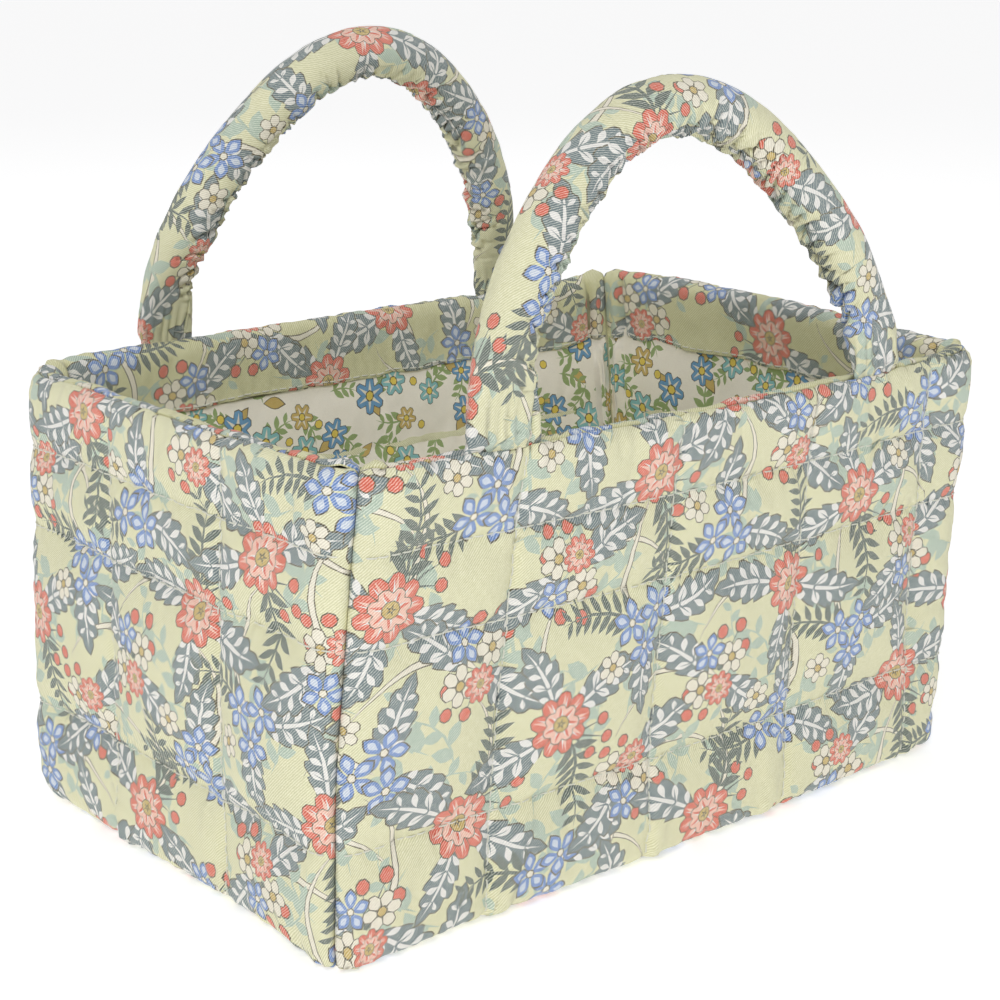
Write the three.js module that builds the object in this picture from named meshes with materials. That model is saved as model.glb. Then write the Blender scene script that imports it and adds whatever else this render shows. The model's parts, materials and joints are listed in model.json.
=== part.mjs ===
// Quilted fabric storage basket with two padded handles.
// Millimetres, +Z up. The origin is the middle of the underside, the long sides face -Y and +Y.
// The walls are three sewn layers: a printed outer cloth, a wadding pad and a cotton lining.
// Each wall is a cross-section of offsets from one outline, carried along that outline.
import * as THREE from "three";

// Basket outline
const HEIGHT = 160;
const BASE_LENGTH = 295;
const BASE_DEPTH = 180;
const END_LEAN = -3;
const LONG_SIDE_LEAN = 14;
const BASE_CORNER_RADIUS = 12;
const RIM_CORNER_RADIUS = 22;
const LONG_SIDE_BULGE_AT_BASE = 4;
const LONG_SIDE_BULGE_AT_RIM = 6;
const END_BULGE_AT_BASE = 1;
const END_BULGE_AT_RIM = 3;

// Layers
const CLOTH = 1.2;
const LAYER_GAP = 0.3;
const SEAM_GAP = 0.3;
const WALL_AT_STITCHING = 7;
const BASE_PAD = 5;
const BASE_PAD_EDGE_ROUND = 1;

// Quilting: stitched lines pull the wall in, the wadding between them crowns out
const QUILT_PITCH = 66;
const LONG_SIDE_FIRST_LINE = -84;
const END_FIRST_LINE = -31;
const LINE_TO_CORNER = 8;
const QUILT_LINES_BELOW_RIM = [56, 121];
const STITCH_DIP = 1.5;
const OUTER_CROWN = 2.8;
const LINING_CROWN = 1.2;
const PUFFINESS = 0.55;

// Rolled rim, its inside facing and the curl under the walls
const RIM_ROLL_RADIUS = 5;
const RIM_SEAM_ANGLE = 67;
const FACING_DEPTH = 27;
const LINING_TUCK = 4;
const WADDING_CREST_ANGLE = 85;
const BASE_CURL_RADIUS = 9;
const BASE_SEAM_ANGLE = 53;

// Handles: stuffed tubes, flattened where the rim seam holds them
const GRIP_DIAMETER = 20;
const COVER_WALL = 2;
const ROOT_WIDTH = 28;
const ROOT_THICKNESS = 5.2;
const ROOT_WIDTH_TAPER = 26;
const ROOT_THICKNESS_TAPER = 46;
const ROOT_SQUARENESS = 3.2;
const ROOT_END_ROUNDING = [0.9, 0.5];
const ROOT_BORE = 1;
const ROOT_CLEARANCE = 0.8;
const CORE_START = 13;
const GATHER_DEPTH = 1;
const GATHERS = 22;
const FRONT_HANDLE = { span: 166, rise: 94, drawnIn: 0.068, lean: 10, shift: -4 };
const BACK_HANDLE = { span: 159, rise: 102, drawnIn: 0.032, lean: 12.5, shift: -1 };

// Facets
const CELL_STEPS = 4;
const CORNER_STEPS = 2;
const FACING_STEPS = 2;
const ROLL_STEPS = 3;
const TUBE_SIDES = 12;
const CORE_RINGS = 20;
const ARC_DIVISIONS = 2000;
const TINY = 1e-6;

const rimRollCentre = HEIGHT - RIM_ROLL_RADIUS;
const facingHem = HEIGHT - FACING_DEPTH;
const quiltLevels = QUILT_LINES_BELOW_RIM.map((below) => HEIGHT - below).reverse();
const basePadTop = CLOTH + LAYER_GAP + BASE_PAD;
const baseLiningTop = basePadTop + LAYER_GAP + CLOTH;

const { cos, sin, PI, abs, sign, sqrt, max, round } = Math;
const radians = THREE.MathUtils.degToRad;
const degrees = THREE.MathUtils.radToDeg;
const mix = THREE.MathUtils.lerp;
const ease = THREE.MathUtils.smoothstep;
const arch = (fraction) => max(0, sin(PI * fraction));
const puff = (fraction) => arch(fraction) ** PUFFINESS;

// The four walls, counted round the basket. "along" runs to the right as seen from outside.
const WALLS = {
  front: { along: [1, 0], out: [0, -1], long: true, firstLine: LONG_SIDE_FIRST_LINE },
  right: { along: [0, 1], out: [1, 0], long: false, firstLine: END_FIRST_LINE },
  back: { along: [-1, 0], out: [0, 1], long: true, firstLine: LONG_SIDE_FIRST_LINE },
  left: { along: [0, -1], out: [-1, 0], long: false, firstLine: END_FIRST_LINE },
};

// Outline of one wall at a height: half its straight run, the distance of that run's ends
// from the basket's middle, the corner radius and the bulge.
function outlineAt(wall, z) {
  const level = z / HEIGHT;
  const halfLength = BASE_LENGTH / 2 + END_LEAN * level;
  const halfDepth = BASE_DEPTH / 2 + LONG_SIDE_LEAN * level;
  const corner = mix(BASE_CORNER_RADIUS, RIM_CORNER_RADIUS, level);
  const longBulge = mix(LONG_SIDE_BULGE_AT_BASE, LONG_SIDE_BULGE_AT_RIM, level);
  const endBulge = mix(END_BULGE_AT_BASE, END_BULGE_AT_RIM, level);
  return {
    run: (wall.long ? halfLength : halfDepth) - corner,
    reach: (wall.long ? halfDepth : halfLength) - corner,
    bulge: wall.long ? longBulge : endBulge,
    corner,
  };
}

// A point of a wall. A column is a distance along the straight run, or a turn from 0 to 1
// round the half corner at one end; the offset is outwards from the outline.
function wallPoint(wall, column, offset, z, seamGap = SEAM_GAP) {
  const { run, reach, bulge, corner } = outlineAt(wall, z);
  const atCorner = column.turn !== undefined;
  const fraction = atCorner ? column.end : column.along / run;
  const slope = Math.atan2(2 * bulge * fraction, run);
  const angle = atCorner ? mix(slope, (column.end * PI) / 4, column.turn) : slope;
  const radius = corner + offset;
  const seam = column.turn === 1 ? (-column.end * seamGap) / 2 : 0;
  const along = fraction * run + radius * sin(angle) + seam * cos(angle);
  const out = reach + bulge * (1 - fraction * fraction) + radius * cos(angle) - seam * sin(angle);
  return new THREE.Vector3(
    wall.along[0] * along + wall.out[0] * out,
    wall.along[1] * along + wall.out[1] * out,
    z,
  );
}

// Columns of one wall from seam to seam: each quilted cell in equal steps, and how far the
// cell has puffed up there.
function wallColumns(wall, steps) {
  const { run, corner } = outlineAt(wall, HEIGHT / 2);
  const seamAt = run + (corner * PI) / 4;
  const lines = [];
  for (let line = wall.firstLine; line < run - LINE_TO_CORNER; line += QUILT_PITCH) {
    lines.push(line);
  }
  const breaks = [-seamAt, ...lines, seamAt];
  const puffAt = (s) => {
    const cell = breaks.findIndex((edge) => edge > s + TINY);
    if (cell < 1) return 0;
    return puff((s - breaks[cell - 1]) / (breaks[cell] - breaks[cell - 1]));
  };
  const cornerColumns = (end) => {
    const columns = [];
    for (let step = CORNER_STEPS; step >= 0; step -= 1) {
      const turn = step / CORNER_STEPS;
      columns.push({ end, turn, puff: puffAt(end * (run + (corner * PI * turn) / 4)) });
    }
    return columns;
  };
  const edges = [-run, ...lines, run];
  const middle = [];
  for (let cell = 1; cell < edges.length; cell += 1) {
    const width = edges[cell] - edges[cell - 1];
    const count = max(1, round((steps * width) / QUILT_PITCH));
    for (let step = cell === 1 ? 1 : 0; step < count; step += 1) {
      const along = edges[cell - 1] + (width * step) / count;
      middle.push({ along, puff: puffAt(along) });
    }
  }
  return [...cornerColumns(-1), ...middle, ...cornerColumns(1).reverse()];
}

// Offset of the outer cloth's face at a height, for a column that has puffed up by "puffed".
function outerFace(puffed, z) {
  const [low, high] = quiltLevels;
  if (z <= low) {
    const fraction = (z - BASE_CURL_RADIUS) / (low - BASE_CURL_RADIUS);
    return -STITCH_DIP * sin((PI / 2) * fraction) + OUTER_CROWN * puffed * arch(fraction);
  }
  if (z >= facingHem) {
    const fraction = (z - facingHem) / (rimRollCentre - facingHem);
    return -STITCH_DIP * cos((PI / 2) * fraction) + (OUTER_CROWN / 2) * puffed * arch(fraction);
  }
  const [from, to] = z <= high ? [low, high] : [high, facingHem];
  return -STITCH_DIP + OUTER_CROWN * puffed * puff((z - from) / (to - from));
}

// Offset of the lining's face inside the basket.
function liningFace(puffed, z) {
  const levels = [baseLiningTop, ...quiltLevels, facingHem];
  const above = levels.findIndex((level) => level > z + TINY);
  if (above < 1) return -WALL_AT_STITCHING;
  const fraction = (z - levels[above - 1]) / (levels[above] - levels[above - 1]);
  return -WALL_AT_STITCHING - LINING_CROWN * puffed * puff(fraction);
}

const facingHemFace = -WALL_AT_STITCHING - LAYER_GAP - CLOTH;
const facingStart = facingHem + LINING_TUCK;

// Offset of the facing's face inside the basket.
function facingFace(z) {
  return mix(facingHemFace, -2 * RIM_ROLL_RADIUS, ease(z, facingStart, rimRollCentre));
}

// Round parts of the cross-section, "deep" below the outer face. The angle is 0 at the outside.
function rimRoll(angle, deep) {
  const radius = RIM_ROLL_RADIUS - deep;
  return [-RIM_ROLL_RADIUS + radius * cos(radians(angle)), rimRollCentre + radius * sin(radians(angle))];
}

function baseCurl(angle, deep) {
  const radius = BASE_CURL_RADIUS - deep;
  return [
    -BASE_CURL_RADIUS + radius * cos(radians(angle)),
    BASE_CURL_RADIUS - radius * sin(radians(angle)),
  ];
}

// Heights of the rows between two levels, without the ends.
function between(from, to, count) {
  return Array.from({ length: count - 1 }, (_, step) => mix(from, to, (step + 1) / count));
}

// Rows of a wall from its curl to its roll, with a row on every stitched line.
function wallLevels(steps) {
  const [low, high] = quiltLevels;
  return [
    BASE_CURL_RADIUS,
    ...between(BASE_CURL_RADIUS, low, steps / 2),
    low,
    ...between(low, high, steps),
    high,
    ...between(high, facingHem, steps / 2),
    facingHem,
    ...between(facingHem, rimRollCentre, FACING_STEPS),
    rimRollCentre,
  ];
}

// Angles round the rim's roll, from one step past 0 up to the last one.
function stepsUpTo(angle) {
  return [...between(0, angle, ROLL_STEPS), angle];
}

// A closed geometry from points and triangles, turned so that its faces point outwards.
function closedGeometry(points, triangles) {
  let volume = 0;
  for (const [a, b, c] of triangles) {
    volume += points[a].dot(new THREE.Vector3().crossVectors(points[b], points[c]));
  }
  const faces = volume < 0 ? triangles.map(([a, b, c]) => [a, c, b]) : triangles;
  const geometry = new THREE.BufferGeometry().setFromPoints(points);
  geometry.setIndex(faces.flat());
  geometry.computeVertexNormals();
  return geometry;
}

function quad(a, b, c, d) {
  return [
    [a, b, c],
    [a, c, d],
  ];
}

// The shell between two grids of points with the same rows and columns.
function shellBetween(outer, inner) {
  const columns = outer.length;
  const rows = outer[0].length;
  const at = (layer, i, j) => (layer * columns + i) * rows + j;
  const triangles = [];
  for (let i = 0; i + 1 < columns; i += 1) {
    for (let j = 0; j + 1 < rows; j += 1) {
      triangles.push(...quad(at(0, i, j), at(0, i + 1, j), at(0, i + 1, j + 1), at(0, i, j + 1)));
      triangles.push(...quad(at(1, i, j), at(1, i, j + 1), at(1, i + 1, j + 1), at(1, i + 1, j)));
    }
    for (const j of [0, rows - 1]) {
      const strip = quad(at(1, i, j), at(1, i + 1, j), at(0, i + 1, j), at(0, i, j));
      triangles.push(...(j === 0 ? strip : strip.map(([a, b, c]) => [a, c, b])));
    }
  }
  for (let j = 0; j + 1 < rows; j += 1) {
    for (const i of [0, columns - 1]) {
      const strip = quad(at(0, i, j), at(0, i, j + 1), at(1, i, j + 1), at(1, i, j));
      triangles.push(...(i === 0 ? strip : strip.map(([a, b, c]) => [a, c, b])));
    }
  }
  return closedGeometry([...outer.flat(), ...inner.flat()], triangles);
}

// Rings joined one to the next. A closed stack returns to its first ring, as an open tube
// with a wall does; any other stack is capped at both ends.
function ringStack(rings, closed) {
  const sides = rings[0].length;
  const points = rings.flat();
  const triangles = [];
  const joins = closed ? rings.length : rings.length - 1;
  for (let ring = 0; ring < joins; ring += 1) {
    const next = (ring + 1) % rings.length;
    for (let k = 0; k < sides; k += 1) {
      const after = (k + 1) % sides;
      triangles.push(
        ...quad(ring * sides + k, ring * sides + after, next * sides + after, next * sides + k),
      );
    }
  }
  if (!closed) {
    for (const ring of [0, rings.length - 1]) {
      const middle = rings[ring].reduce((sum, point) => sum.add(point), new THREE.Vector3());
      points.push(middle.divideScalar(sides));
      for (let k = 0; k < sides; k += 1) {
        const fan = [points.length - 1, ring * sides + ((k + 1) % sides), ring * sides + k];
        triangles.push(ring === 0 ? fan : [fan[0], fan[2], fan[1]]);
      }
    }
  }
  return closedGeometry(points, triangles);
}

// A wall layer from its cross-section: pairs of outer and inner [offset, height] at each row.
function wallLayer(wall, columns, section) {
  const face = (side) =>
    columns.map((column) =>
      section(column.puff).map((pair) => wallPoint(wall, column, pair[side][0], pair[side][1])),
    );
  return shellBetween(face(0), face(1));
}

function outerPanel(wall) {
  const levels = wallLevels(CELL_STEPS);
  return wallLayer(wall, wallColumns(wall, CELL_STEPS), (puffed) => [
    ...[BASE_SEAM_ANGLE, BASE_SEAM_ANGLE / 2].map((angle) => [baseCurl(angle, 0), baseCurl(angle, CLOTH)]),
    ...levels.map((z) => [
      [outerFace(puffed, z), z],
      [outerFace(puffed, z) - CLOTH, z],
    ]),
    ...stepsUpTo(RIM_SEAM_ANGLE).map((angle) => [rimRoll(angle, 0), rimRoll(angle, CLOTH)]),
  ]);
}

function wadding(wall) {
  const deep = CLOTH + LAYER_GAP;
  const back = (puffed, z) => {
    const underFacing = facingFace(z) + deep;
    const underLining = liningFace(puffed, z) + deep;
    return mix(underLining, underFacing, ease(z, facingStart + LAYER_GAP, rimRollCentre));
  };
  const footAngle = BASE_SEAM_ANGLE - degrees(LAYER_GAP / (BASE_CURL_RADIUS - deep));
  const footBack = -WALL_AT_STITCHING + deep;
  return wallLayer(wall, wallColumns(wall, CELL_STEPS / 2), (puffed) => [
    ...[footAngle, footAngle / 2].map((angle) => {
      const [offset, z] = baseCurl(angle, deep);
      return [
        [offset, z],
        [footBack, z],
      ];
    }),
    ...wallLevels(CELL_STEPS / 2).map((z) => [
      [outerFace(puffed, z) - deep, z],
      [back(puffed, z), z],
    ]),
    ...stepsUpTo(WADDING_CREST_ANGLE).map((angle) => [rimRoll(angle, deep), rimRoll(180 - angle, deep)]),
  ]);
}

function lining(wall) {
  const foot = baseLiningTop + LAYER_GAP;
  const lowest = max(foot, BASE_CURL_RADIUS) + TINY;
  const levels = wallLevels(CELL_STEPS / 2).filter((z) => z > lowest && z <= facingHem);
  return wallLayer(wall, wallColumns(wall, CELL_STEPS / 2), (puffed) =>
    [foot, ...levels, facingHem + LINING_TUCK].map((z) => [
      [liningFace(puffed, z) + CLOTH, z],
      [liningFace(puffed, z), z],
    ]),
  );
}

function facing(wall) {
  const seamAngle = RIM_SEAM_ANGLE + degrees(SEAM_GAP / (RIM_ROLL_RADIUS - CLOTH));
  const levels = [rimRollCentre, (facingStart + rimRollCentre) / 2, facingStart + LAYER_GAP, facingHem];
  return wallLayer(wall, wallColumns(wall, CELL_STEPS / 2), () => [
    ...[seamAngle, ...between(seamAngle, 180, ROLL_STEPS)].map((angle) => [
      rimRoll(angle, 0),
      rimRoll(angle, CLOTH),
    ]),
    ...levels.map((z) => [
      [facingFace(z), z],
      [facingFace(z) + CLOTH, z],
    ]),
  ]);
}

// The outline all the way round, at an offset and a height.
function outlineRing(offset, z) {
  return Object.values(WALLS).flatMap((wall) =>
    wallColumns(wall, CELL_STEPS / 2)
      .slice(1)
      .map((column) => wallPoint(wall, column, offset, z, 0)),
  );
}

function baseLayer(edge) {
  return ringStack(edge.map(([offset, z]) => outlineRing(offset, z)), false);
}

function outerBase() {
  const seamAngle = BASE_SEAM_ANGLE + degrees(SEAM_GAP / (BASE_CURL_RADIUS - CLOTH));
  const angles = [90, (90 + seamAngle) / 2, seamAngle];
  return baseLayer([
    ...angles.map((angle) => baseCurl(angle, 0)),
    ...angles.reverse().map((angle) => baseCurl(angle, CLOTH)),
  ]);
}

const baseEdge = -WALL_AT_STITCHING + CLOTH;

// The base's wadding stops at the walls' wadding and follows the inside of the curl there.
function basePad() {
  const deep = CLOTH + LAYER_GAP;
  const curlAcross = BASE_CURL_RADIUS + baseEdge;
  const edgeHeight = BASE_CURL_RADIUS - sqrt((BASE_CURL_RADIUS - deep) ** 2 - curlAcross ** 2);
  return baseLayer([
    baseCurl(90, deep),
    [baseEdge, edgeHeight],
    [baseEdge, basePadTop - BASE_PAD_EDGE_ROUND],
    [baseEdge - BASE_PAD_EDGE_ROUND, basePadTop],
  ]);
}

function baseLining() {
  return baseLayer([
    [baseEdge, basePadTop + LAYER_GAP],
    [baseEdge, baseLiningTop],
  ]);
}

// Centreline of a handle: half an ellipse standing on the hinge line, its shoulders drawn in.
class HandleLine extends THREE.Curve {
  constructor({ span, rise, drawnIn }) {
    super();
    this.arcLengthDivisions = ARC_DIVISIONS;
    Object.assign(this, { span, rise, drawnIn });
  }

  getPoint(t, target = new THREE.Vector3()) {
    const angle = PI * (1 - t);
    const drawn = 1 - this.drawnIn * sin(2 * angle) ** 2;
    return target.set((cos(angle) * drawn * this.span) / 2, 0, this.rise * sin(angle) * drawn);
  }
}

// How far the tube is squeezed flat at a distance from its root: 1 at the seam, 0 on the grip.
function flatness(distance, taper) {
  return 1 - ease(distance, 0, taper);
}

// One ring of a handle's tube. The section goes from a flat root to a round grip; gathers
// pull in the side that faces the loop.
function tubeRing(line, length, distance, inset, gather) {
  const fromRoot = Math.min(distance, length - distance);
  const t = THREE.MathUtils.clamp(distance / length, 0, 1);
  const centre = line.getPointAt(t);
  const tangent = line.getTangentAt(t);
  const outward = new THREE.Vector3(-tangent.z, 0, tangent.x);
  const below = max(0, -fromRoot);
  centre.addScaledVector(tangent, distance < 0 ? -below : max(0, distance - length));
  const widened = flatness(max(0, fromRoot), ROOT_WIDTH_TAPER);
  const thinned = flatness(max(0, fromRoot), ROOT_THICKNESS_TAPER);
  const halfWidth = mix(GRIP_DIAMETER, ROOT_WIDTH, widened) / 2 - inset;
  const rounded = sqrt(max(0, 1 - (below / (ROOT_THICKNESS / 2)) ** 2));
  const fullThickness = (mix(GRIP_DIAMETER, ROOT_THICKNESS, thinned) / 2) * rounded;
  const halfThickness = max(fullThickness - inset, ROOT_BORE / 2);
  const squareness = 2 / mix(2, ROOT_SQUARENESS, widened);
  return Array.from({ length: TUBE_SIDES }, (_, side) => {
    const angle = (2 * PI * side) / TUBE_SIDES;
    const across = sign(cos(angle)) * abs(cos(angle)) ** squareness;
    const through = sign(sin(angle)) * abs(sin(angle)) ** squareness;
    const pulled = gather * max(0, -cos(angle));
    return centre
      .clone()
      .addScaledVector(outward, (halfWidth - pulled) * across)
      .add(new THREE.Vector3(0, halfThickness * through, 0));
  });
}

function handleParts(handle) {
  const line = new HandleLine(handle);
  const length = line.getLength();
  const ends = ROOT_END_ROUNDING.map((part) => (-part * ROOT_THICKNESS) / 2);
  const steps = 2 * GATHERS;
  const outer = ends.map((distance) => tubeRing(line, length, distance, 0, 0));
  for (let step = 0; step <= steps; step += 1) {
    const distance = (length * step) / steps;
    const fromRoot = Math.min(distance, length - distance);
    const gathered = step % 2 ? GATHER_DEPTH * (1 - flatness(fromRoot, ROOT_WIDTH_TAPER)) : 0;
    outer.push(tubeRing(line, length, distance, 0, gathered));
  }
  outer.push(...ends.map((distance) => tubeRing(line, length, length - distance, 0, 0)).reverse());
  const coreEnds = length - 2 * CORE_START;
  const along = (step) => CORE_START + (coreEnds * step) / CORE_RINGS;
  const rings = (inset) =>
    Array.from({ length: CORE_RINGS + 1 }, (_, step) => tubeRing(line, length, along(step), inset, 0));
  const inner = [
    tubeRing(line, length, ends[0], COVER_WALL, 0),
    tubeRing(line, length, 0, COVER_WALL, 0),
    ...rings(COVER_WALL),
    tubeRing(line, length, length, COVER_WALL, 0),
    tubeRing(line, length, length - ends[0], COVER_WALL, 0),
  ];
  // The core's rings run back too, so its facets are split like the cover's inner ones.
  return {
    cover: ringStack([...outer, ...inner.reverse()], true),
    core: ringStack(rings(COVER_WALL + LAYER_GAP).reverse(), false),
  };
}

// Hinge line of a handle: straight out from the rim seam, far enough for the rounded root to
// turn on it. The wall curves, so the line takes the mean of its reach at the two roots.
function hingePoint(wall, handle) {
  const [offset, z] = rimRoll(RIM_SEAM_ANGLE, -(ROOT_CLEARANCE + ROOT_THICKNESS / 2));
  const roots = [-1, 1].map((end) => (end * handle.span) / 2 + wall.along[0] * handle.shift);
  const reach = roots.map((along) => wallPoint(wall, { along }, offset, rimRollCentre).y);
  return new THREE.Vector3(handle.shift, (reach[0] + reach[1]) / 2, z);
}

const printedCloth = new THREE.MeshStandardMaterial({ color: 0xc9cdab, roughness: 0.9, metalness: 0 });
const handleCloth = new THREE.MeshStandardMaterial({ color: 0xd6dbb8, roughness: 0.9, metalness: 0 });
const facingCloth = new THREE.MeshStandardMaterial({ color: 0xb4b98f, roughness: 0.9, metalness: 0 });
const liningCloth = new THREE.MeshStandardMaterial({ color: 0xe4decf, roughness: 0.85, metalness: 0 });
const waddingFill = new THREE.MeshStandardMaterial({ color: 0xf3f2ee, roughness: 1, metalness: 0 });

const basket = new THREE.Group();

function addPiece(parent, name, geometry, material) {
  const mesh = new THREE.Mesh(geometry, material);
  mesh.name = name;
  parent.add(mesh);
}

for (const [side, wall] of Object.entries(WALLS)) {
  addPiece(basket, `${side}_outer_panel`, outerPanel(wall), printedCloth);
  addPiece(basket, `${side}_wadding`, wadding(wall), waddingFill);
  addPiece(basket, `${side}_lining`, lining(wall), liningCloth);
  addPiece(basket, `${side}_rim_facing`, facing(wall), facingCloth);
}
addPiece(basket, "base_outer_panel", outerBase(), printedCloth);
addPiece(basket, "base_wadding", basePad(), waddingFill);
addPiece(basket, "base_lining", baseLining(), liningCloth);

for (const [side, handle] of Object.entries({ front: FRONT_HANDLE, back: BACK_HANDLE })) {
  const hinge = new THREE.Group();
  hinge.position.copy(hingePoint(WALLS[side], handle));
  hinge.rotation.x = WALLS[side].out[1] * radians(handle.lean);
  const parts = handleParts(handle);
  addPiece(hinge, `${side}_handle_cover`, parts.cover, handleCloth);
  addPiece(hinge, `${side}_handle_core`, parts.core, waddingFill);
  basket.add(hinge);
}

export default basket;
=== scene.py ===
"""Quilted fabric storage basket: its sewn, printed and stuffed pieces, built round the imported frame.

The shape functions work in millimetres and meshes are made in metres. A cloth piece is cut flat,
with its print, and a shape function then carries every flat point to its place on the basket.
"""

import json
from collections import namedtuple
from types import SimpleNamespace

import bpy
import numpy as np
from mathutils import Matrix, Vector
from mathutils.geometry import delaunay_2d_cdt


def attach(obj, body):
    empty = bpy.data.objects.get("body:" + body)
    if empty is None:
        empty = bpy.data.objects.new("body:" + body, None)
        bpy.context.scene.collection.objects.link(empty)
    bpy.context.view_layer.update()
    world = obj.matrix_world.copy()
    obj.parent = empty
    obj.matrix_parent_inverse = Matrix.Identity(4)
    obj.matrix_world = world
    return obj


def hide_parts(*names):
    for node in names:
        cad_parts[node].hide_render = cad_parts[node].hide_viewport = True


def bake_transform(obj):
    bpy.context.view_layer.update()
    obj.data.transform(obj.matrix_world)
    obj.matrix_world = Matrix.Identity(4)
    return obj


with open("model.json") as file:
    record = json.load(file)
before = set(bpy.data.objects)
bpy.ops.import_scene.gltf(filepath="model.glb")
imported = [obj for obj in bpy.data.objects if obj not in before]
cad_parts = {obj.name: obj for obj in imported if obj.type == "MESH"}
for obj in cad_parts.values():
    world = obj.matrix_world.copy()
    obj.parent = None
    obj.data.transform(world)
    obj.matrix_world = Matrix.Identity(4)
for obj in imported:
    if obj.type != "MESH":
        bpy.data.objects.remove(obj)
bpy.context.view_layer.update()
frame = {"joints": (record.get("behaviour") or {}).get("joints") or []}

bl_info = {
    "name": "Quilted Basket",
    "version": (1, 0, 0),
    "blender": (4, 5, 0),
    "location": "View3D > Sidebar > Basket",
    "description": "Builds a quilted fabric basket with two stuffed handles",
    "category": "Object",
}

MM = 0.001
SIDES = ("front", "right", "back", "left")
ALONG = {"front": (1, 0), "right": (0, 1), "back": (-1, 0), "left": (0, -1)}
OUT = {"front": (0, -1), "right": (1, 0), "back": (0, 1), "left": (-1, 0)}
CORNER_FOLD = 12  # millimetres from a corner seam to the crease in the facing beside it
ROOT_GAP = 1.2  # millimetres by which each side of the rim seam opens at a handle's root
FLOOR_HEIGHT = 8  # millimetres from the ground to the face of the lining's base
OUTER_STEP, FACING_STEP, BASE_STEP = 3, 2.6, 5  # grid pitches of the cloth, in millimetres

MERGE = 1e-5  # millimetres within which two points of a cut become one

CutCloth = namedtuple("CutCloth", "points triangles inks ground")


# Sizes and colours


def length_property(name, description, millimetres):
    """A length that the sidebar shows in the scene's unit, with its default given in millimetres."""
    return bpy.props.FloatProperty(
        name=name, description=description, default=millimetres * MM, unit="LENGTH", precision=4
    )


def angle_property(name, description, degrees):
    """An angle shown in degrees."""
    return bpy.props.FloatProperty(
        name=name, description=description, default=np.radians(degrees), subtype="ANGLE"
    )


def share_property(name, description, value):
    """A plain share between 0 and 1."""
    return bpy.props.FloatProperty(name=name, description=description, default=value, min=0, max=1)


def colour_property(name, red, green, blue):
    """A cloth or ink colour. The default is given as 8-bit sRGB and stored as linear light."""
    shares = np.array([red, green, blue]) / 255
    linear = np.where(shares <= 0.04045, shares / 12.92, ((shares + 0.055) / 1.055) ** 2.4)
    return bpy.props.FloatVectorProperty(
        name=name, description=f"Colour of the {name.lower()}", default=linear.tolist(), subtype="COLOR"
    )


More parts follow.
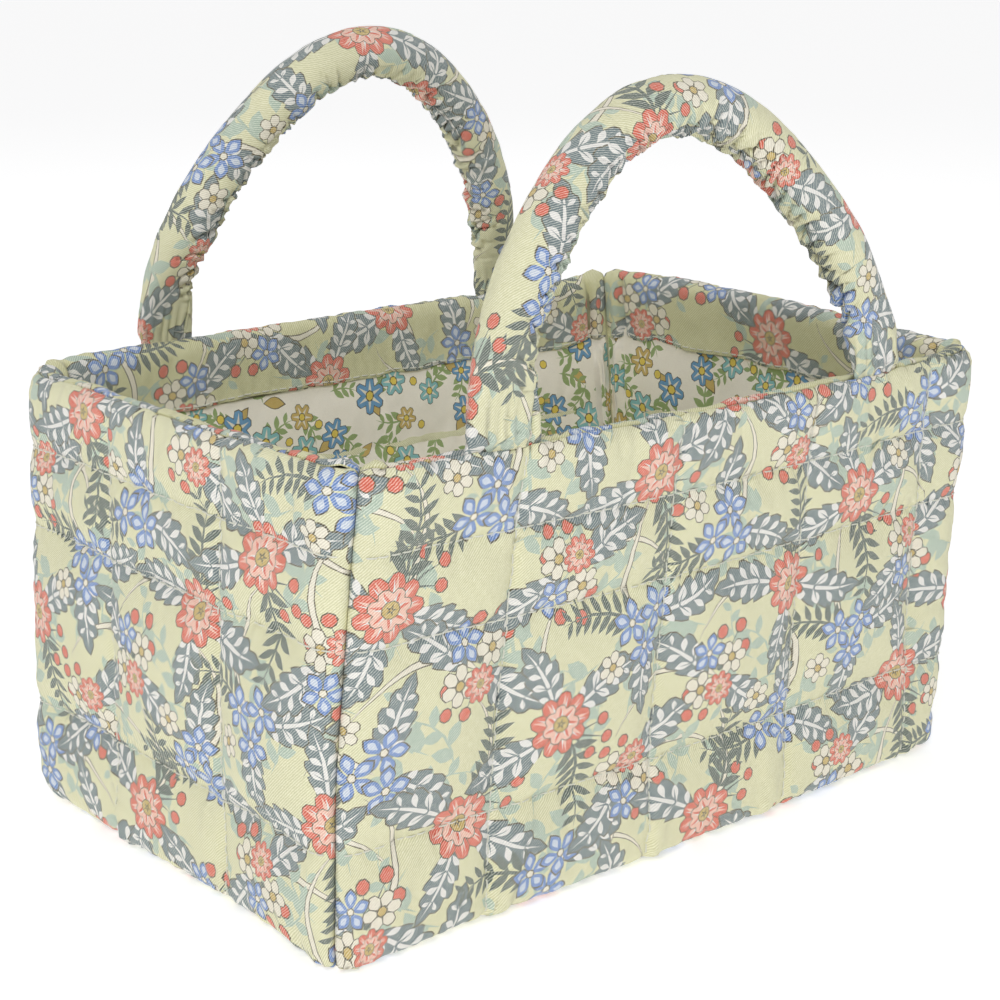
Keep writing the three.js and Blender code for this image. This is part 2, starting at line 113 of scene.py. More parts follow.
class BasketSizes(bpy.types.PropertyGroup):
    """Sizes of the sewn basket: those of the CAD model, with how its soft handles stand."""

    height: length_property("Height", "Height of the walls at the rim", 160)
    base_length: length_property("Base length", "Length of the base outline", 295)
    base_depth: length_property("Base depth", "Depth of the base outline", 180)
    end_lean: length_property("End lean", "How far each end wall leans out at the rim", -3)
    side_lean: length_property("Side lean", "How far each long wall leans out at the rim", 14)
    base_corner: length_property("Base corner", "Corner radius at the base", 12)
    rim_corner: length_property("Rim corner", "Corner radius at the rim", 22)
    side_bulge_base: length_property("Side bulge, base", "Bulge of a long wall at the base", 4)
    side_bulge_rim: length_property("Side bulge, rim", "Bulge of a long wall at the rim", 6)
    end_bulge_base: length_property("End bulge, base", "Bulge of an end wall at the base", 1)
    end_bulge_rim: length_property("End bulge, rim", "Bulge of an end wall at the rim", 3)
    curl: length_property("Base curl", "Radius of the curl under each wall", 9)
    curl_seam: angle_property("Base seam", "Angle of the base seam below the wall's foot", 53)
    roll: length_property("Rim roll", "Radius of the padded rim", 5)
    roll_seam: angle_property("Rim seam", "Angle of the rim seam over the wall's top", 67)
    facing_depth: length_property("Facing depth", "Depth of the facing inside the rim", 27)
    quilt_pitch: length_property("Quilting pitch", "Distance between upright quilting lines", 66)
    side_first_line: length_property("First line, side", "First upright line on a long wall", -84)
    end_first_line: length_property("First line, end", "First upright line on an end wall", -31)
    upper_line: length_property("Upper line", "Depth of the upper quilting line below the rim", 56)
    lower_line: length_property("Lower line", "Depth of the lower quilting line below the rim", 121)
    stitch_dip: length_property("Stitch dip", "How far quilting stitches pull the cloth in", 1.5)
    puff: length_property("Puff", "How far a quilted cell puffs up between its stitches", 3.6)
    wall: length_property("Wall", "Thickness of the wall where it is stitched", 7)
    cloth: length_property("Cloth", "Thickness of one cloth layer", 1.2)
    grip: length_property("Grip", "Diameter of a stuffed handle", 20)
    front_left_root: length_property("Front left root", "Width of this root at the rim seam", 28)
    front_right_root: length_property("Front right root", "Width of this root at the rim seam", 21.5)
    back_left_root: length_property("Back left root", "Width of this root at the rim seam", 22)
    back_right_root: length_property("Back right root", "Width of this root at the rim seam", 19)
    root_thickness: length_property("Root thickness", "Thickness of a handle at the rim seam", 5.2)
    width_taper: length_property("Width taper", "Length over which a root narrows to the grip", 34)
    thickness_taper: length_property("Thickness taper", "Length over which a root fills out", 46)
    front_span: length_property("Front span", "Distance between the front handle's roots", 166)
    front_rise: length_property("Front rise", "Height of the front handle over its hinge", 92.8)
    front_drawn_in: share_property("Front drawn in", "How far the front handle's shoulders draw in", 0.06)
    front_lean: angle_property("Front lean", "Lean of the front handle over the mouth", 10)
    front_shift: length_property("Front shift", "Place of the front handle along its wall", -4)
    front_sway: length_property("Front sway", "How far the front handle's arch stands to one side", -1.9)
    front_sway_height: length_property("Front sway height", "Height at which the whole sway is reached", 30)
    front_left_splay: length_property("Front left splay", "How far this root spreads outwards", 1.6)
    front_right_splay: length_property("Front right splay", "How far this root spreads outwards", 0)
    back_span: length_property("Back span", "Distance between the back handle's roots", 159)
    back_rise: length_property("Back rise", "Height of the back handle over its hinge", 102)
    back_drawn_in: share_property("Back drawn in", "How far the back handle's shoulders draw in", 0.046)
    back_lean: angle_property("Back lean", "Lean of the back handle over the mouth", 12.5)
    back_shift: length_property("Back shift", "Place of the back handle along its wall", -1)
    back_sway: length_property("Back sway", "How far the back handle's arch stands to one side", 3.1)
    back_sway_height: length_property("Back sway height", "Height at which the whole sway is reached", 90)
    back_left_splay: length_property("Back left splay", "How far this root spreads outwards", -2)
    back_right_splay: length_property("Back right splay", "How far this root spreads outwards", 3)


class BasketColours(bpy.types.PropertyGroup):
    """Ground and ink colours of the two printed cottons, with the facing's ground darkened as painted shade.
    """

    ground: colour_property("Printed cloth ground", 226, 224, 182)
    tracery: colour_property("Tracery ink", 182, 200, 182)
    slate: colour_property("Slate ink", 116, 132, 136)
    deep_slate: colour_property("Deep slate ink", 94, 107, 100)
    pale: colour_property("Pale edge ink", 238, 236, 232)
    coral: colour_property("Coral ink", 226, 106, 84)
    light_coral: colour_property("Light coral ink", 244, 196, 178)
    blue: colour_property("Blue ink", 112, 146, 206)
    light_blue: colour_property("Light blue ink", 208, 218, 234)
    cream: colour_property("Cream ink", 240, 233, 214)
    outline: colour_property("Outline ink", 92, 84, 60)
    ochre: colour_property("Ochre ink", 208, 180, 104)
    # Painted shade: the printed ground made darker and yellower for the shade inside the rim; the facing is
    # the same cloth as outside.
    facing_ground: colour_property("Facing ground in painted shade", 218, 216, 166)
    lining_ground: colour_property("Lining ground", 255, 249, 235)
    teal: colour_property("Teal ink", 136, 194, 196)
    mid_blue: colour_property("Mid blue ink", 104, 158, 200)
    leaf_green: colour_property("Leaf green ink", 152, 174, 112)
    yellow: colour_property("Yellow ink", 234, 208, 88)
    thread: colour_property("Sewing thread", 240, 240, 226)


INKS = tuple(BasketColours.__annotations__)


def in_millimetres(group):
    """The sizes as plain numbers: lengths in millimetres, angles in radians."""
    values = {}
    for prop in group.bl_rna.properties:
        if prop.identifier in BasketSizes.__annotations__:
            value = getattr(group, prop.identifier)
            values[prop.identifier] = value / MM if prop.unit == "LENGTH" else value
    return SimpleNamespace(**values)


# Numbers


def ease(value, low, high):
    """0 below low, 1 above high, and the cubic 3t^2 - 2t^3 between them."""
    t = np.clip((value - low) / (high - low), 0, 1)
    return t * t * (3 - 2 * t)


def value_noise(u, v, seed):
    """Smooth noise from -1 to 1: random heights on the unit lattice, blended by cubic steps."""
    column, row = np.floor(u).astype(np.int64), np.floor(v).astype(np.int64)
    fu, fv = u - column, v - row
    fu, fv = fu * fu * (3 - 2 * fu), fv * fv * (3 - 2 * fv)

    def lattice(i, j):
        """A random height from -1 to 1 for each lattice point, by an integer hash."""
        mixed = (i * 374761393 + j * 668265263 + seed * 974634777) & 0xFFFFFFFF
        mixed = ((mixed ^ (mixed >> 13)) * 1274126177) & 0xFFFFFFFF
        return ((mixed ^ (mixed >> 16)) & 0xFFFF) / 32767.5 - 1

    low = lattice(column, row) * (1 - fu) + lattice(column + 1, row) * fu
    high = lattice(column, row + 1) * (1 - fu) + lattice(column + 1, row + 1) * fu
    return low * (1 - fv) + high * fv


def catmull_rom(grid, x, y):
    """Heights of a grid at fractional places: the four-by-four Catmull-Rom blend round each."""

    def weights(t):
        """Weights of the four points round a place, t of the way past the second."""
        return (
            t * (t * (1 - t / 2) - 0.5),
            t * t * (1.5 * t - 2.5) + 1,
            t * (t * (2 - 1.5 * t) + 0.5),
            t * t * (t - 1) / 2,
        )

    column = np.clip(np.floor(x).astype(int), 0, grid.shape[0] - 2)
    row = np.clip(np.floor(y).astype(int), 0, grid.shape[1] - 2)
    total = np.zeros(np.shape(x))
    for i, across in enumerate(weights(x - column)):
        for j, up in enumerate(weights(y - row)):
            a = np.clip(column + i - 1, 0, grid.shape[0] - 1)
            b = np.clip(row + j - 1, 0, grid.shape[1] - 1)
            total += across * up * grid[a, b]
    return total


def spaced(breaks, step):
    """Places from the first break to the last, evenly spaced between breaks about a step apart."""
    runs = [
        np.linspace(a, b, max(1, round((b - a) / step)), endpoint=False)
        for a, b in zip(breaks, breaks[1:])
    ]
    return np.append(np.concatenate(runs), breaks[-1])


def rounded_edge(distance, radius):
    """How far cloth sinks near a seam: a quarter circle of the radius, nought further away."""
    short = radius - np.clip(distance, 0, radius)
    return np.sqrt(radius * radius - short * short) - radius


def hump(value, middle, spread):
    """Gaussian bump of height 1: exp(-((value - middle) / spread)^2)."""
    return np.exp(-(((value - middle) / spread) ** 2))


def ripples(u, v, pitch, seed, height=1.0):
    """Smooth noise over flat cloth: value noise with a pitch along u and one along v, times a height."""
    return height * value_noise(u / pitch[0], v / pitch[1], seed)


def wave_along(u, pitch, seed, height=1.0):
    """Smooth noise along one direction only."""
    return height * value_noise(u / pitch, 0 * u, seed)


# The walls as surfaces


def settled(points):
    """Points of the pattern, moved to where the soft basket stands, by a few millimetres.

    Its rim stands out and higher round the right end and lower at the back. The near corner's foot
    spreads forwards and the right one draws in, and the left end is dented near the front corner.
    Each move is an amount in millimetres times the fades of the places that it belongs to.
    """
    x, y, z = np.moveaxis(points, -1, 0)
    foot, rim, edge = 1 - ease(z, 0, 70), ease(z, 90, 160), hump(z, 3, 4)
    right, left = ease(x, 100, 145), 1 - ease(x, -148, -120)
    front, back = 1 - ease(y, -90, -60), ease(y, 40, 90)
    near_corner = front * (1 - ease(x, -135, -85))
    lean_out, rim_out, foot_in = 1.3, 3.0, 3.2
    at_right = lean_out * ease(z, 15, 45) + rim_out * ease(z, 80, 145) - foot_in * (1 - ease(z, 5, 45))
    rim_in, belly, back_belly = 1.4, 1.4, 2.2
    at_left = rim_in * ease(z, 120, 155) - belly * hump(z, 65, 40) - back_belly * hump(z, 32, 24) * back
    dent, corner_out, edge_out, back_out = 2.4, 1.4, 0.8, 1.2
    at_left_foot = dent * hump(y, -30, 34) - corner_out * front - edge_out * edge * front - back_out * back
    front_out, front_edge_out, near_out, near_edge_out = 2.5, 0.8, 1.6, 1.2
    forwards = front * (front_out * foot + front_edge_out * edge)
    forwards = forwards + near_corner * (near_out * foot + near_edge_out * edge)
    front_drop, near_drop, drop, drop_slope = 0.4, 0.6, 1.2, 0.4
    right_rise, back_rise, back_fall, left_fall = 3.2, 2.2, 0.9, 1.4
    rise = right * (right_rise * ease(y, -72, 10) + back_rise * hump(y, 66, 34))
    fall = back * (back_fall * (1 - ease(x, -60, 60)) + left_fall * left)
    moved = points.copy()
    moved[..., 0] += right * (1 - ease(y, 20, 90)) * at_right
    moved[..., 0] += left * (at_left + foot * at_left_foot)
    moved[..., 1] -= forwards
    moved[..., 2] -= (front_drop * front + near_drop * near_corner) * np.minimum(drop * edge, drop_slope * z)
    moved[..., 2] += rim * (rise - fall)
    return moved


class Wall:
    """One wall, as a surface over its flat cloth.

    s runs along the wall from corner seam to corner seam and w up it from the base seam, both in
    millimetres. The outline is a straight run with a parabolic bulge and half a rounded corner at
    each end; every size of it changes evenly from the base to the rim.
    """

    def __init__(self, side, sizes):
        self.side = side
        self.sizes = sizes
        self.long = side in ("front", "back")
        run, _, _, corner = self.outline(sizes.height / 2)
        self.run = run
        self.corner_arc = corner * np.pi / 4
        self.seam_at = run + self.corner_arc
        first = sizes.side_first_line if self.long else sizes.end_first_line
        clear_of_corner = 8
        lines = np.arange(first, run - clear_of_corner, sizes.quilt_pitch)
        self.breaks = [-self.seam_at, *lines, self.seam_at]
        self.curl_arc = sizes.curl * sizes.curl_seam
        self.roll_centre = sizes.height - sizes.roll
        self.straight = self.roll_centre - sizes.curl
        self.cloth_height = self.curl_arc + self.straight + sizes.roll * sizes.roll_seam
        self.facing_hem = sizes.height - sizes.facing_depth
        levels = [sizes.height - sizes.lower_line, sizes.height - sizes.upper_line, self.facing_hem]
        self.rows = [0, *(self.cloth_at(z) for z in levels), self.cloth_height]

    def cloth_at(self, z):
        """w of the straight part of the wall at a height."""
        return self.curl_arc + z - self.sizes.curl

    def outline(self, z):
        """Half the straight run, the reach of its corner centres, the bulge and the corner radius."""
        size = self.sizes
        level = z / size.height
        half_length = size.base_length / 2 + size.end_lean * level
        half_depth = size.base_depth / 2 + size.side_lean * level
        corner = size.base_corner + (size.rim_corner - size.base_corner) * level
        if self.long:
            bulge = size.side_bulge_base + (size.side_bulge_rim - size.side_bulge_base) * level
            return half_length - corner, half_depth - corner, bulge, corner
        bulge = size.end_bulge_base + (size.end_bulge_rim - size.end_bulge_base) * level
        return half_depth - corner, half_length - corner, bulge, corner

    def pattern(self, s, offset, z):
        """Point of the wall: an offset outwards from the outline, at a distance along it."""
        run, reach, bulge, corner = self.outline(z)
        fraction = np.clip(s / self.run, -1, 1)
        turn = np.clip((np.abs(s) - self.run) / self.corner_arc, 0, 1)
        slope = np.arctan2(2 * bulge * fraction, run)
        angle = slope + (np.sign(s) * np.pi / 4 - slope) * turn
        along = fraction * run + (corner + offset) * np.sin(angle)
        out = reach + bulge * (1 - fraction**2) + (corner + offset) * np.cos(angle)
        (ax, ay), (ox, oy) = ALONG[self.side], OUT[self.side]
        return np.stack([ax * along + ox * out, ay * along + oy * out, z + 0 * along], -1)

    def place(self, s, offset, z):
        """The same point on the settled basket."""
        return settled(self.pattern(s, offset, z))

    def section(self, w, lift):
        """Offset and height of the outer cloth, lifted along its normal.

        The cross-section is an arc up from the base seam, a straight wall and an arc over the rim.
        """
        size = self.sizes
        low = np.clip(self.curl_arc - w, 0, None) / size.curl
        high = np.clip(w - self.curl_arc - self.straight, 0, None) / size.roll
        climb = np.clip(w - self.curl_arc, 0, self.straight)
        angle = high - low
        offset = -size.curl * (1 - np.cos(low)) - size.roll * (1 - np.cos(high)) + lift * np.cos(angle)
        height = size.curl * (1 - np.sin(low)) + climb + size.roll * np.sin(high) + lift * np.sin(angle)
        return offset, height

    @property
    def facing_arc(self):
        """Cloth of the facing that lies over the roll."""
        return self.sizes.roll * (np.pi - self.sizes.roll_seam)

    @property
    def facing_height(self):
        """Cloth of the facing from the rim seam to its hem."""
        return self.facing_arc + self.roll_centre - self.facing_hem

    def facing_section(self, w, lift):
        """Offset and height of the facing: on over the roll from the rim seam, then down inside.

        Below the roll it comes out by a cubic step to lie on the wadding, which is thinner there.
        """
        size = self.sizes
        turn = size.roll_seam + np.clip(w, 0, self.facing_arc) / size.roll
        down = np.clip(w - self.facing_arc, 0, None)
        z = self.roll_centre + (size.roll + lift) * np.sin(turn) - down
        brought_out, above_hem = 1.5, 4
        eased_out = brought_out * (1 - ease(z, self.facing_hem + above_hem, self.roll_centre))
        return -size.roll + (size.roll + lift) * np.cos(turn) + eased_out, z

    def along_at(self, x, offset, z):
        """s of the points at distances x along the wall, on one offset and height."""
        steps = 240
        s = np.linspace(-self.seam_at, self.seam_at, steps + 1)
        places = self.place(s, offset, z) @ (*ALONG[self.side], 0)
        return np.interp(x, places, s)

    def pulled_in(self, s, w, seed=0):
        """How far the stitched lines pull the cloth in, with the puckers and pleats beside them.

        Each line has a broad dip, a narrow groove, short wrinkles across it that fade by a
        Gaussian, and, if it is upright, a soft pleat lying along one side. The rows fade out
        towards the corners, where the cloth is drawn tight.
        """
        groove, groove_spread, dip_spread, wrinkle_spread = 0.8, 1.2, 7.5, 6.5
        rows_fade, wrinkle, wrinkle_pitch, wrinkle_length = 9, 0.6, 2.9, 15
        pleat_height, pleat_at, pleat_spread, pleat_pitch = 0.8, 3.0, 2.3, 17
        pleat_level, pleat_change, line_apart, worn_flat = 0.55, 0.65, 3.7, 0.5
        from_line = s[..., None] - np.array(self.breaks[1:-1])
        from_row = w[..., None] - np.array(self.rows[1:-1])
        to_line, to_row = np.abs(from_line).min(-1), np.abs(from_row).min(-1)
        tight = ease(self.seam_at - np.abs(s), 3, 26)
        broad = ease(w, 0, self.rows[1]) * (1 - ease(w, self.rows[-2], self.rows[-1]))
        near = np.minimum(to_line, to_row + rows_fade * (1 - tight))
        dip = -self.sizes.stitch_dip * broad * hump(near, 0, dip_spread)
        dip = dip - groove * hump(near, 0, groove_spread)
        across_row = ripples(s, w, (wrinkle_pitch, wrinkle_length), seed + 7)
        across_row = across_row * hump(to_row, 0, wrinkle_spread) * tight
        across_line = ripples(s, w, (wrinkle_length, 3.1), seed + 8) * hump(to_line, 0, wrinkle_spread)
        pleat = hump(from_line, pleat_at, pleat_spread).max(-1)
        changing = value_noise(w / pleat_pitch, from_line.argmin(-1) * line_apart, seed + 9)
        pleat = pleat * (pleat_level + pleat_change * changing)
        wrinkles = wrinkle * (across_row + across_line)
        wrinkles = wrinkles + pleat_height * pleat * (1 - worn_flat * ease(w, 90, 130))
        return dip + wrinkles + self.tucks(s, w, seed)

    def tucks(self, s, w, seed):
        """Folds that run up from the base seam beside the upright lines and lean to one side.

        Each is soft on one side and steep on the other: a wide and a narrow half Gaussian.
        """
        rng = np.random.default_rng(seed)
        tucks_per_line, beside, most_slant, steep_spread, soft_spread = 2, 16, 0.32, 1.5, 6.0
        total = 0 * s
        for line in self.breaks[1:-1]:
            for _ in range(tucks_per_line):
                foot = line + rng.uniform(-beside, beside)
                slant = rng.uniform(-most_slant, most_slant)
                reach, height = rng.uniform(45, 85), rng.uniform(0.9, 1.7)
                away = s - foot - slant * w
                fold = hump(away, 0, np.where(away * slant > 0, steep_spread, soft_spread))
                total = total + height * fold * (1 - ease(w, 8, reach))
        return total * ease(w, 0, 6)


class Handle:
    """One stuffed handle, as a surface over its flat cloth.

    u runs along the handle from root to root, with a tail beyond each root, and v round it from
    the seam that faces the loop, both in millimetres.
    """

    TAIL = 4.4
    TWIST = 0.1
    SPLAY_FADE = 26
    TAIL_THINNED = 0.55

    def __init__(self, side, sizes, wall):
        self.side, self.sizes, self.wall = side, sizes, wall

        def own(name):
            """One of this handle's own sizes."""
            return getattr(sizes, f"{side}_{name}")

        self.lean = own("lean") * -OUT[side][1]
        joint = next(j for j in frame["joints"] if j["name"] == f"{side}_handle_fold")
        self.hinge = np.array(joint["pos_m"]) / MM
        steps = 720
        angle = np.pi * np.linspace(1, 0, steps + 1)
        drawn = 1 - own("drawn_in") * np.sin(2 * angle) ** 2
        span, rise = own("span"), own("rise")
        self.line = np.stack([np.cos(angle) * drawn * span / 2, rise * np.sin(angle) * drawn], -1)
        gaps = np.linalg.norm(np.diff(self.line, axis=0), axis=1)
        self.arc = np.concatenate([[0], np.cumsum(gaps)])
        self.length = self.arc[-1]
        self.girth = np.pi * sizes.grip
        self.sway, self.sway_height = own("sway"), own("sway_height")
        self.splays = [own("left_splay"), own("right_splay")]
        self.roots = [own("left_root"), own("right_root")]

    def round_and_along(self, u, v):
        """Distance from the handle's long seam, and distance from the nearer root."""
        return np.minimum(v, self.girth - v), np.minimum(u, self.length - u)

    def twisted(self, u, v):
        """Place round the section: the long seam winds a little round the side facing the loop."""
        twist = self.girth * self.TWIST * np.clip(2 * u / self.length - 1, -1, 1)
        return np.mod(v + twist, self.girth)

    def section(self, u, v, lift):
        """Across and through the tube: a flat oval at the roots that fills out to a circle.

        The oval is two half circles joined by straight runs, walked at an even pace along v.
        """
        size = self.sizes
        v = self.twisted(u, v)
        share, root = self.round_and_along(u, v)
        held = np.where(u < self.length / 2, *self.roots)
        width = held + (size.grip - held) * ease(root, 0, size.width_taper)
        filled = ease(root, 0, size.thickness_taper)
        radius = (size.root_thickness + (size.grip - size.root_thickness) * filled) / 2
        flat = width / 2 - radius
        walked = share / self.girth * (4 * flat + 2 * np.pi * radius)
        quarter = np.pi * radius / 2
        first = np.clip(walked, 0, quarter) / radius
        run = np.clip(walked - quarter, 0, 2 * flat)
        last = np.clip(walked - quarter - 2 * flat, 0, quarter) / radius
        side = np.where(v < self.girth / 2, 1, -1)
        across = -flat - (radius + lift) * np.cos(first) + run + (radius + lift) * np.sin(last)
        return across, side * (radius + lift) * np.sin(first) * np.cos(last)

    def place(self, u, v, lift):
        """Point of the handle, lifted along the section's normal.

        Beyond a root the tail bends down into the rim seam and thins to two layers of cloth.
        """
        across, through = self.section(u, v, lift)
        on = np.clip(u, 0, self.length)
        x, h = (np.interp(on, self.arc, self.line[:, axis]) for axis in (0, 1))
        step = 0.5
        ahead, behind = np.clip(on + step, 0, self.length), np.clip(on - step, 0, self.length)
        tx, th = (
            np.interp(ahead, self.arc, self.line[:, axis]) - np.interp(behind, self.arc, self.line[:, axis])
            for axis in (0, 1)
        )
        x = x + self.sway * ease(h, 0, self.sway_height)
        left_splay, right_splay = self.splays
        splay = np.where(u < self.length / 2, -left_splay, right_splay)
        x = x + splay * (1 - ease(self.round_and_along(u, v)[1], 0, self.SPLAY_FADE))
        long = np.hypot(tx, th)
        x, h = x - th / long * across, h + tx / long * across
        c, s = np.cos(self.lean), np.sin(self.lean)
        points = self.hinge + np.stack([x, through * c + h * s, h * c - through * s], -1)
        below = np.clip(np.maximum(-u, u - self.length) / self.TAIL, 0, 1)
        size, wall = self.sizes, self.wall
        seam_offset = -size.roll * (1 - np.cos(size.roll_seam))
        seam_z = wall.roll_centre + size.roll * np.sin(size.roll_seam)
        sign = ALONG[self.side][0]
        s_at = wall.along_at(sign * points[:, 0], seam_offset, seam_z)
        thin = 1 - self.TAIL_THINNED * ease(below, 0, 0.8)
        seam = wall.place(s_at, seam_offset, seam_z)
        bend = ease(below, 0, 1)
        points[:, 1] += bend * (seam[:, 1] - self.hinge[1]) - (1 - thin) * through * c
        points[:, 2] -= below * self.TAIL
        return points


# Settled cloth


class Quilting:
    """Relief of one quilted wall, from a cloth simulation on its flat sheet.

    The sheet is pinned along its seams and stitched lines, cut a little too large and blown up
    softly, so that it puffs between the stitches and puckers beside them.
    """

    def __init__(self, wall, seed):
        column_step, row_step, crest = 2.6, 2.5, 99
        self.s = spaced(wall.breaks, column_step)
        self.w = spaced(wall.rows, row_step)
        relief = settle_sheet(self.s, self.w, wall.breaks, wall.rows, seed)
        self.relief = relief * wall.sizes.puff / np.percentile(relief, crest)

    def lift(self, s, w):
        """Height of the puffed cloth over its stitched level."""
        x = np.interp(s, self.s, np.arange(len(self.s)))
        y = np.interp(w, self.w, np.arange(len(self.w)))
        return catmull_rom(self.relief, x, y)


def settle_sheet(columns, rows, held_columns, held_rows, seed):
    """Simulate the sheet at ten times its size and return how far each grid point rises.

    The pressure is soft and the springs are loose, and the shrink is negative, so the cloth grows.
    """
    scale, growth, unevenness = 10 * MM, 0.035, 0.15
    s, w = np.meshgrid(columns, rows, indexing="ij")
    start = ripples(s, w, (2.2, 2.2), seed, height=unevenness)
    points = np.stack([s, -start, w], -1).reshape(-1, 3) * scale
    held = np.isclose(s[..., None], held_columns).any(-1) | np.isclose(w[..., None], held_rows).any(-1)
    index = np.arange(s.size).reshape(s.shape)
    quads = np.stack([index[:-1, :-1], index[1:, :-1], index[1:, 1:], index[:-1, 1:]], -1)
    mesh = bpy.data.meshes.new("sheet")
    mesh.from_pydata(points.tolist(), [], quads.reshape(-1, 4).tolist())
    sheet = bpy.data.objects.new("sheet", mesh)
    bpy.context.scene.collection.objects.link(sheet)
    pins = sheet.vertex_groups.new(name="held")
    pins.add(np.flatnonzero(held).tolist(), 1.0, "REPLACE")
    cloth = sheet.modifiers.new("cloth", "CLOTH")
    cloth.collision_settings.use_collision = False
    settings = cloth.settings
    settings.quality = 5
    settings.mass = 0.3
    settings.tension_stiffness = 15
    settings.compression_stiffness = 15
    settings.shear_stiffness = 5
    settings.bending_stiffness = 0.3
    settings.vertex_group_mass = "held"
    settings.use_pressure = True
    settings.uniform_pressure_force = 3
    settings.shrink_min = -growth
    settings.shrink_max = -growth
    settings.effector_weights.gravity = 0
    frames = 20
    cloth.point_cache.frame_end = frames + 1
    for number in range(1, frames + 1):
        bpy.context.scene.frame_set(number)
    blown = sheet.evaluated_get(bpy.context.evaluated_depsgraph_get()).data
    moved = np.empty(points.size)
    blown.vertices.foreach_get("co", moved)
    bpy.data.objects.remove(sheet)
    bpy.data.meshes.remove(mesh)
    bpy.context.scene.frame_set(1)
    return -moved.reshape(*s.shape, 3)[..., 1] / scale


# Prints


def blade(length, width, bend=0.0, belly=1.0, teeth=0, grow=0.0, points=6):
    """Closed outline of a leaf or petal that lies along +x.

    The midrib is an arc turning by bend. Half the width is sin(pi t^belly), cut back between the
    teeth, which lean forward. grow moves the outline outwards.
    """
    cut_back, tooth_lean, blunt, straight = 0.3, 0.35, 0.4, 0.01
    t = np.linspace(0, 1, (3 * teeth if teeth else points) + 1)
    wave = np.cos(np.pi * teeth * t) ** 2 if teeth else np.zeros_like(t)
    half = width / 2 * np.sin(np.pi * t**belly) * (1 - cut_back * wave) + grow * np.sin(np.pi * t) ** blunt
    half[[0, -1]] = 0
    turn = bend if abs(bend) > straight else straight
    along = (-grow + (length + 2 * grow) * t) / length
    lean = tooth_lean * half * (1 - wave) if teeth else 0
    sides = []
    for sign in (-1, 1):
        spine_x = length * np.sin(turn * along) / turn
        spine_y = length * (1 - np.cos(turn * along)) / turn
        x = spine_x - sign * half * np.sin(turn * along) + lean * np.cos(turn * along)
        y = spine_y + sign * half * np.cos(turn * along) + lean * np.sin(turn * along)
        sides.append(np.stack([x, y], -1))
    return np.concatenate([sides[0], sides[1][-2:0:-1]])


def scallop(petals, inner, outer, samples=4, turn=0.0):
    """Outline of a flower seen from above: its radius swings from inner to outer once a petal."""
    angle = np.linspace(0, 2 * np.pi, petals * samples, endpoint=False) + np.radians(turn)
    fullness = 0.6
    swing = np.abs(np.cos(petals * (angle - np.radians(turn)) / 2)) ** fullness
    radius = inner + (outer - inner) * swing
    return radius[:, None] * np.stack([np.cos(angle), np.sin(angle)], -1)


def disc(radius, points=7):
    """Round outline about the origin."""
    return scallop(1, radius, radius, points)


def spot(outline, x=0.0, y=0.0, angle=0.0, scale=1.0, mirror=False):
    """The outline scaled, mirrored, turned by an angle in degrees and moved."""
    points = outline[::-1] * (scale, -scale) if mirror else outline * scale
    c, s = np.cos(np.radians(angle)), np.sin(np.radians(angle))
    return points @ np.array([[c, s], [-s, c]]) + (x, y)


def stamped(motif, x=0.0, y=0.0, angle=0.0, scale=1.0, mirror=False):
    """A motif, which is a list of inks and outlines from the bottom up, put in its place."""
    return [(ink, spot(outline, x, y, angle, scale, mirror)) for ink, outline in motif]


def rays(count, start, end, width, ink, turn=0.0):
    """Thin wedges from the middle of a flower, between its petals or along them."""
    wedge = np.array([[start, -width / 2], [end, 0], [start, width / 2]])
    return [(ink, spot(wedge, angle=turn + 360 * number / count)) for number in range(count)]


def rosette_motif():
    """Full round flower: two rings of streaked coral petals round an ochre eye."""
    motif = [("outline", scallop(9, 10.2, 13.3)), ("coral", scallop(9, 9.6, 12.9))]
    motif += rays(9, 5.5, 12.3, 2.2, "light_coral") + rays(9, 6, 11.4, 0.9, "pale", 7)
    motif += rays(9, 6, 10.4, 0.6, "outline", 20)
    motif += [("outline", scallop(7, 6.3, 8.2, turn=12))]
    motif += [("light_coral", scallop(7, 5.9, 7.8, turn=12))]
    motif += rays(7, 3.4, 7.4, 1.9, "coral", 12) + rays(7, 3.4, 6.4, 0.8, "pale", 20)
    motif += [("outline", disc(3.5, 9)), ("ochre", disc(3.1, 9))]
    return motif + rays(5, 0.4, 2.4, 0.9, "outline")


def starlet_motif():
    """Blue flower of five rounded petals, each with a lighter patch."""
    petals, patch_out = 5, 2.2
    petal = blade(7.2, 4.3, 0.0, 1.35, points=6)
    motif = []
    for angle in np.arange(petals) * 360 // petals:
        patch_x, patch_y = patch_out * np.cos(np.radians(angle)), patch_out * np.sin(np.radians(angle))
        motif.append(("outline", spot(petal, angle=angle, scale=1.07)))
        motif.append(("blue", spot(petal, angle=angle, scale=0.98)))
        motif.append(("light_blue", spot(petal, patch_x, patch_y, angle, 0.5)))
    return motif + [("outline", disc(1.5, 6)), ("cream", disc(1.15, 5))]


def blossom_motif():
    """Small cream flower with an ochre eye."""
    motif = [("outline", scallop(6, 3.5, 5.3)), ("cream", scallop(6, 3.1, 4.95))]
    motif += rays(6, 1.5, 3.9, 0.5, "outline", 30)
    return motif + [("outline", disc(1.6)), ("ochre", disc(1.2, 6))]


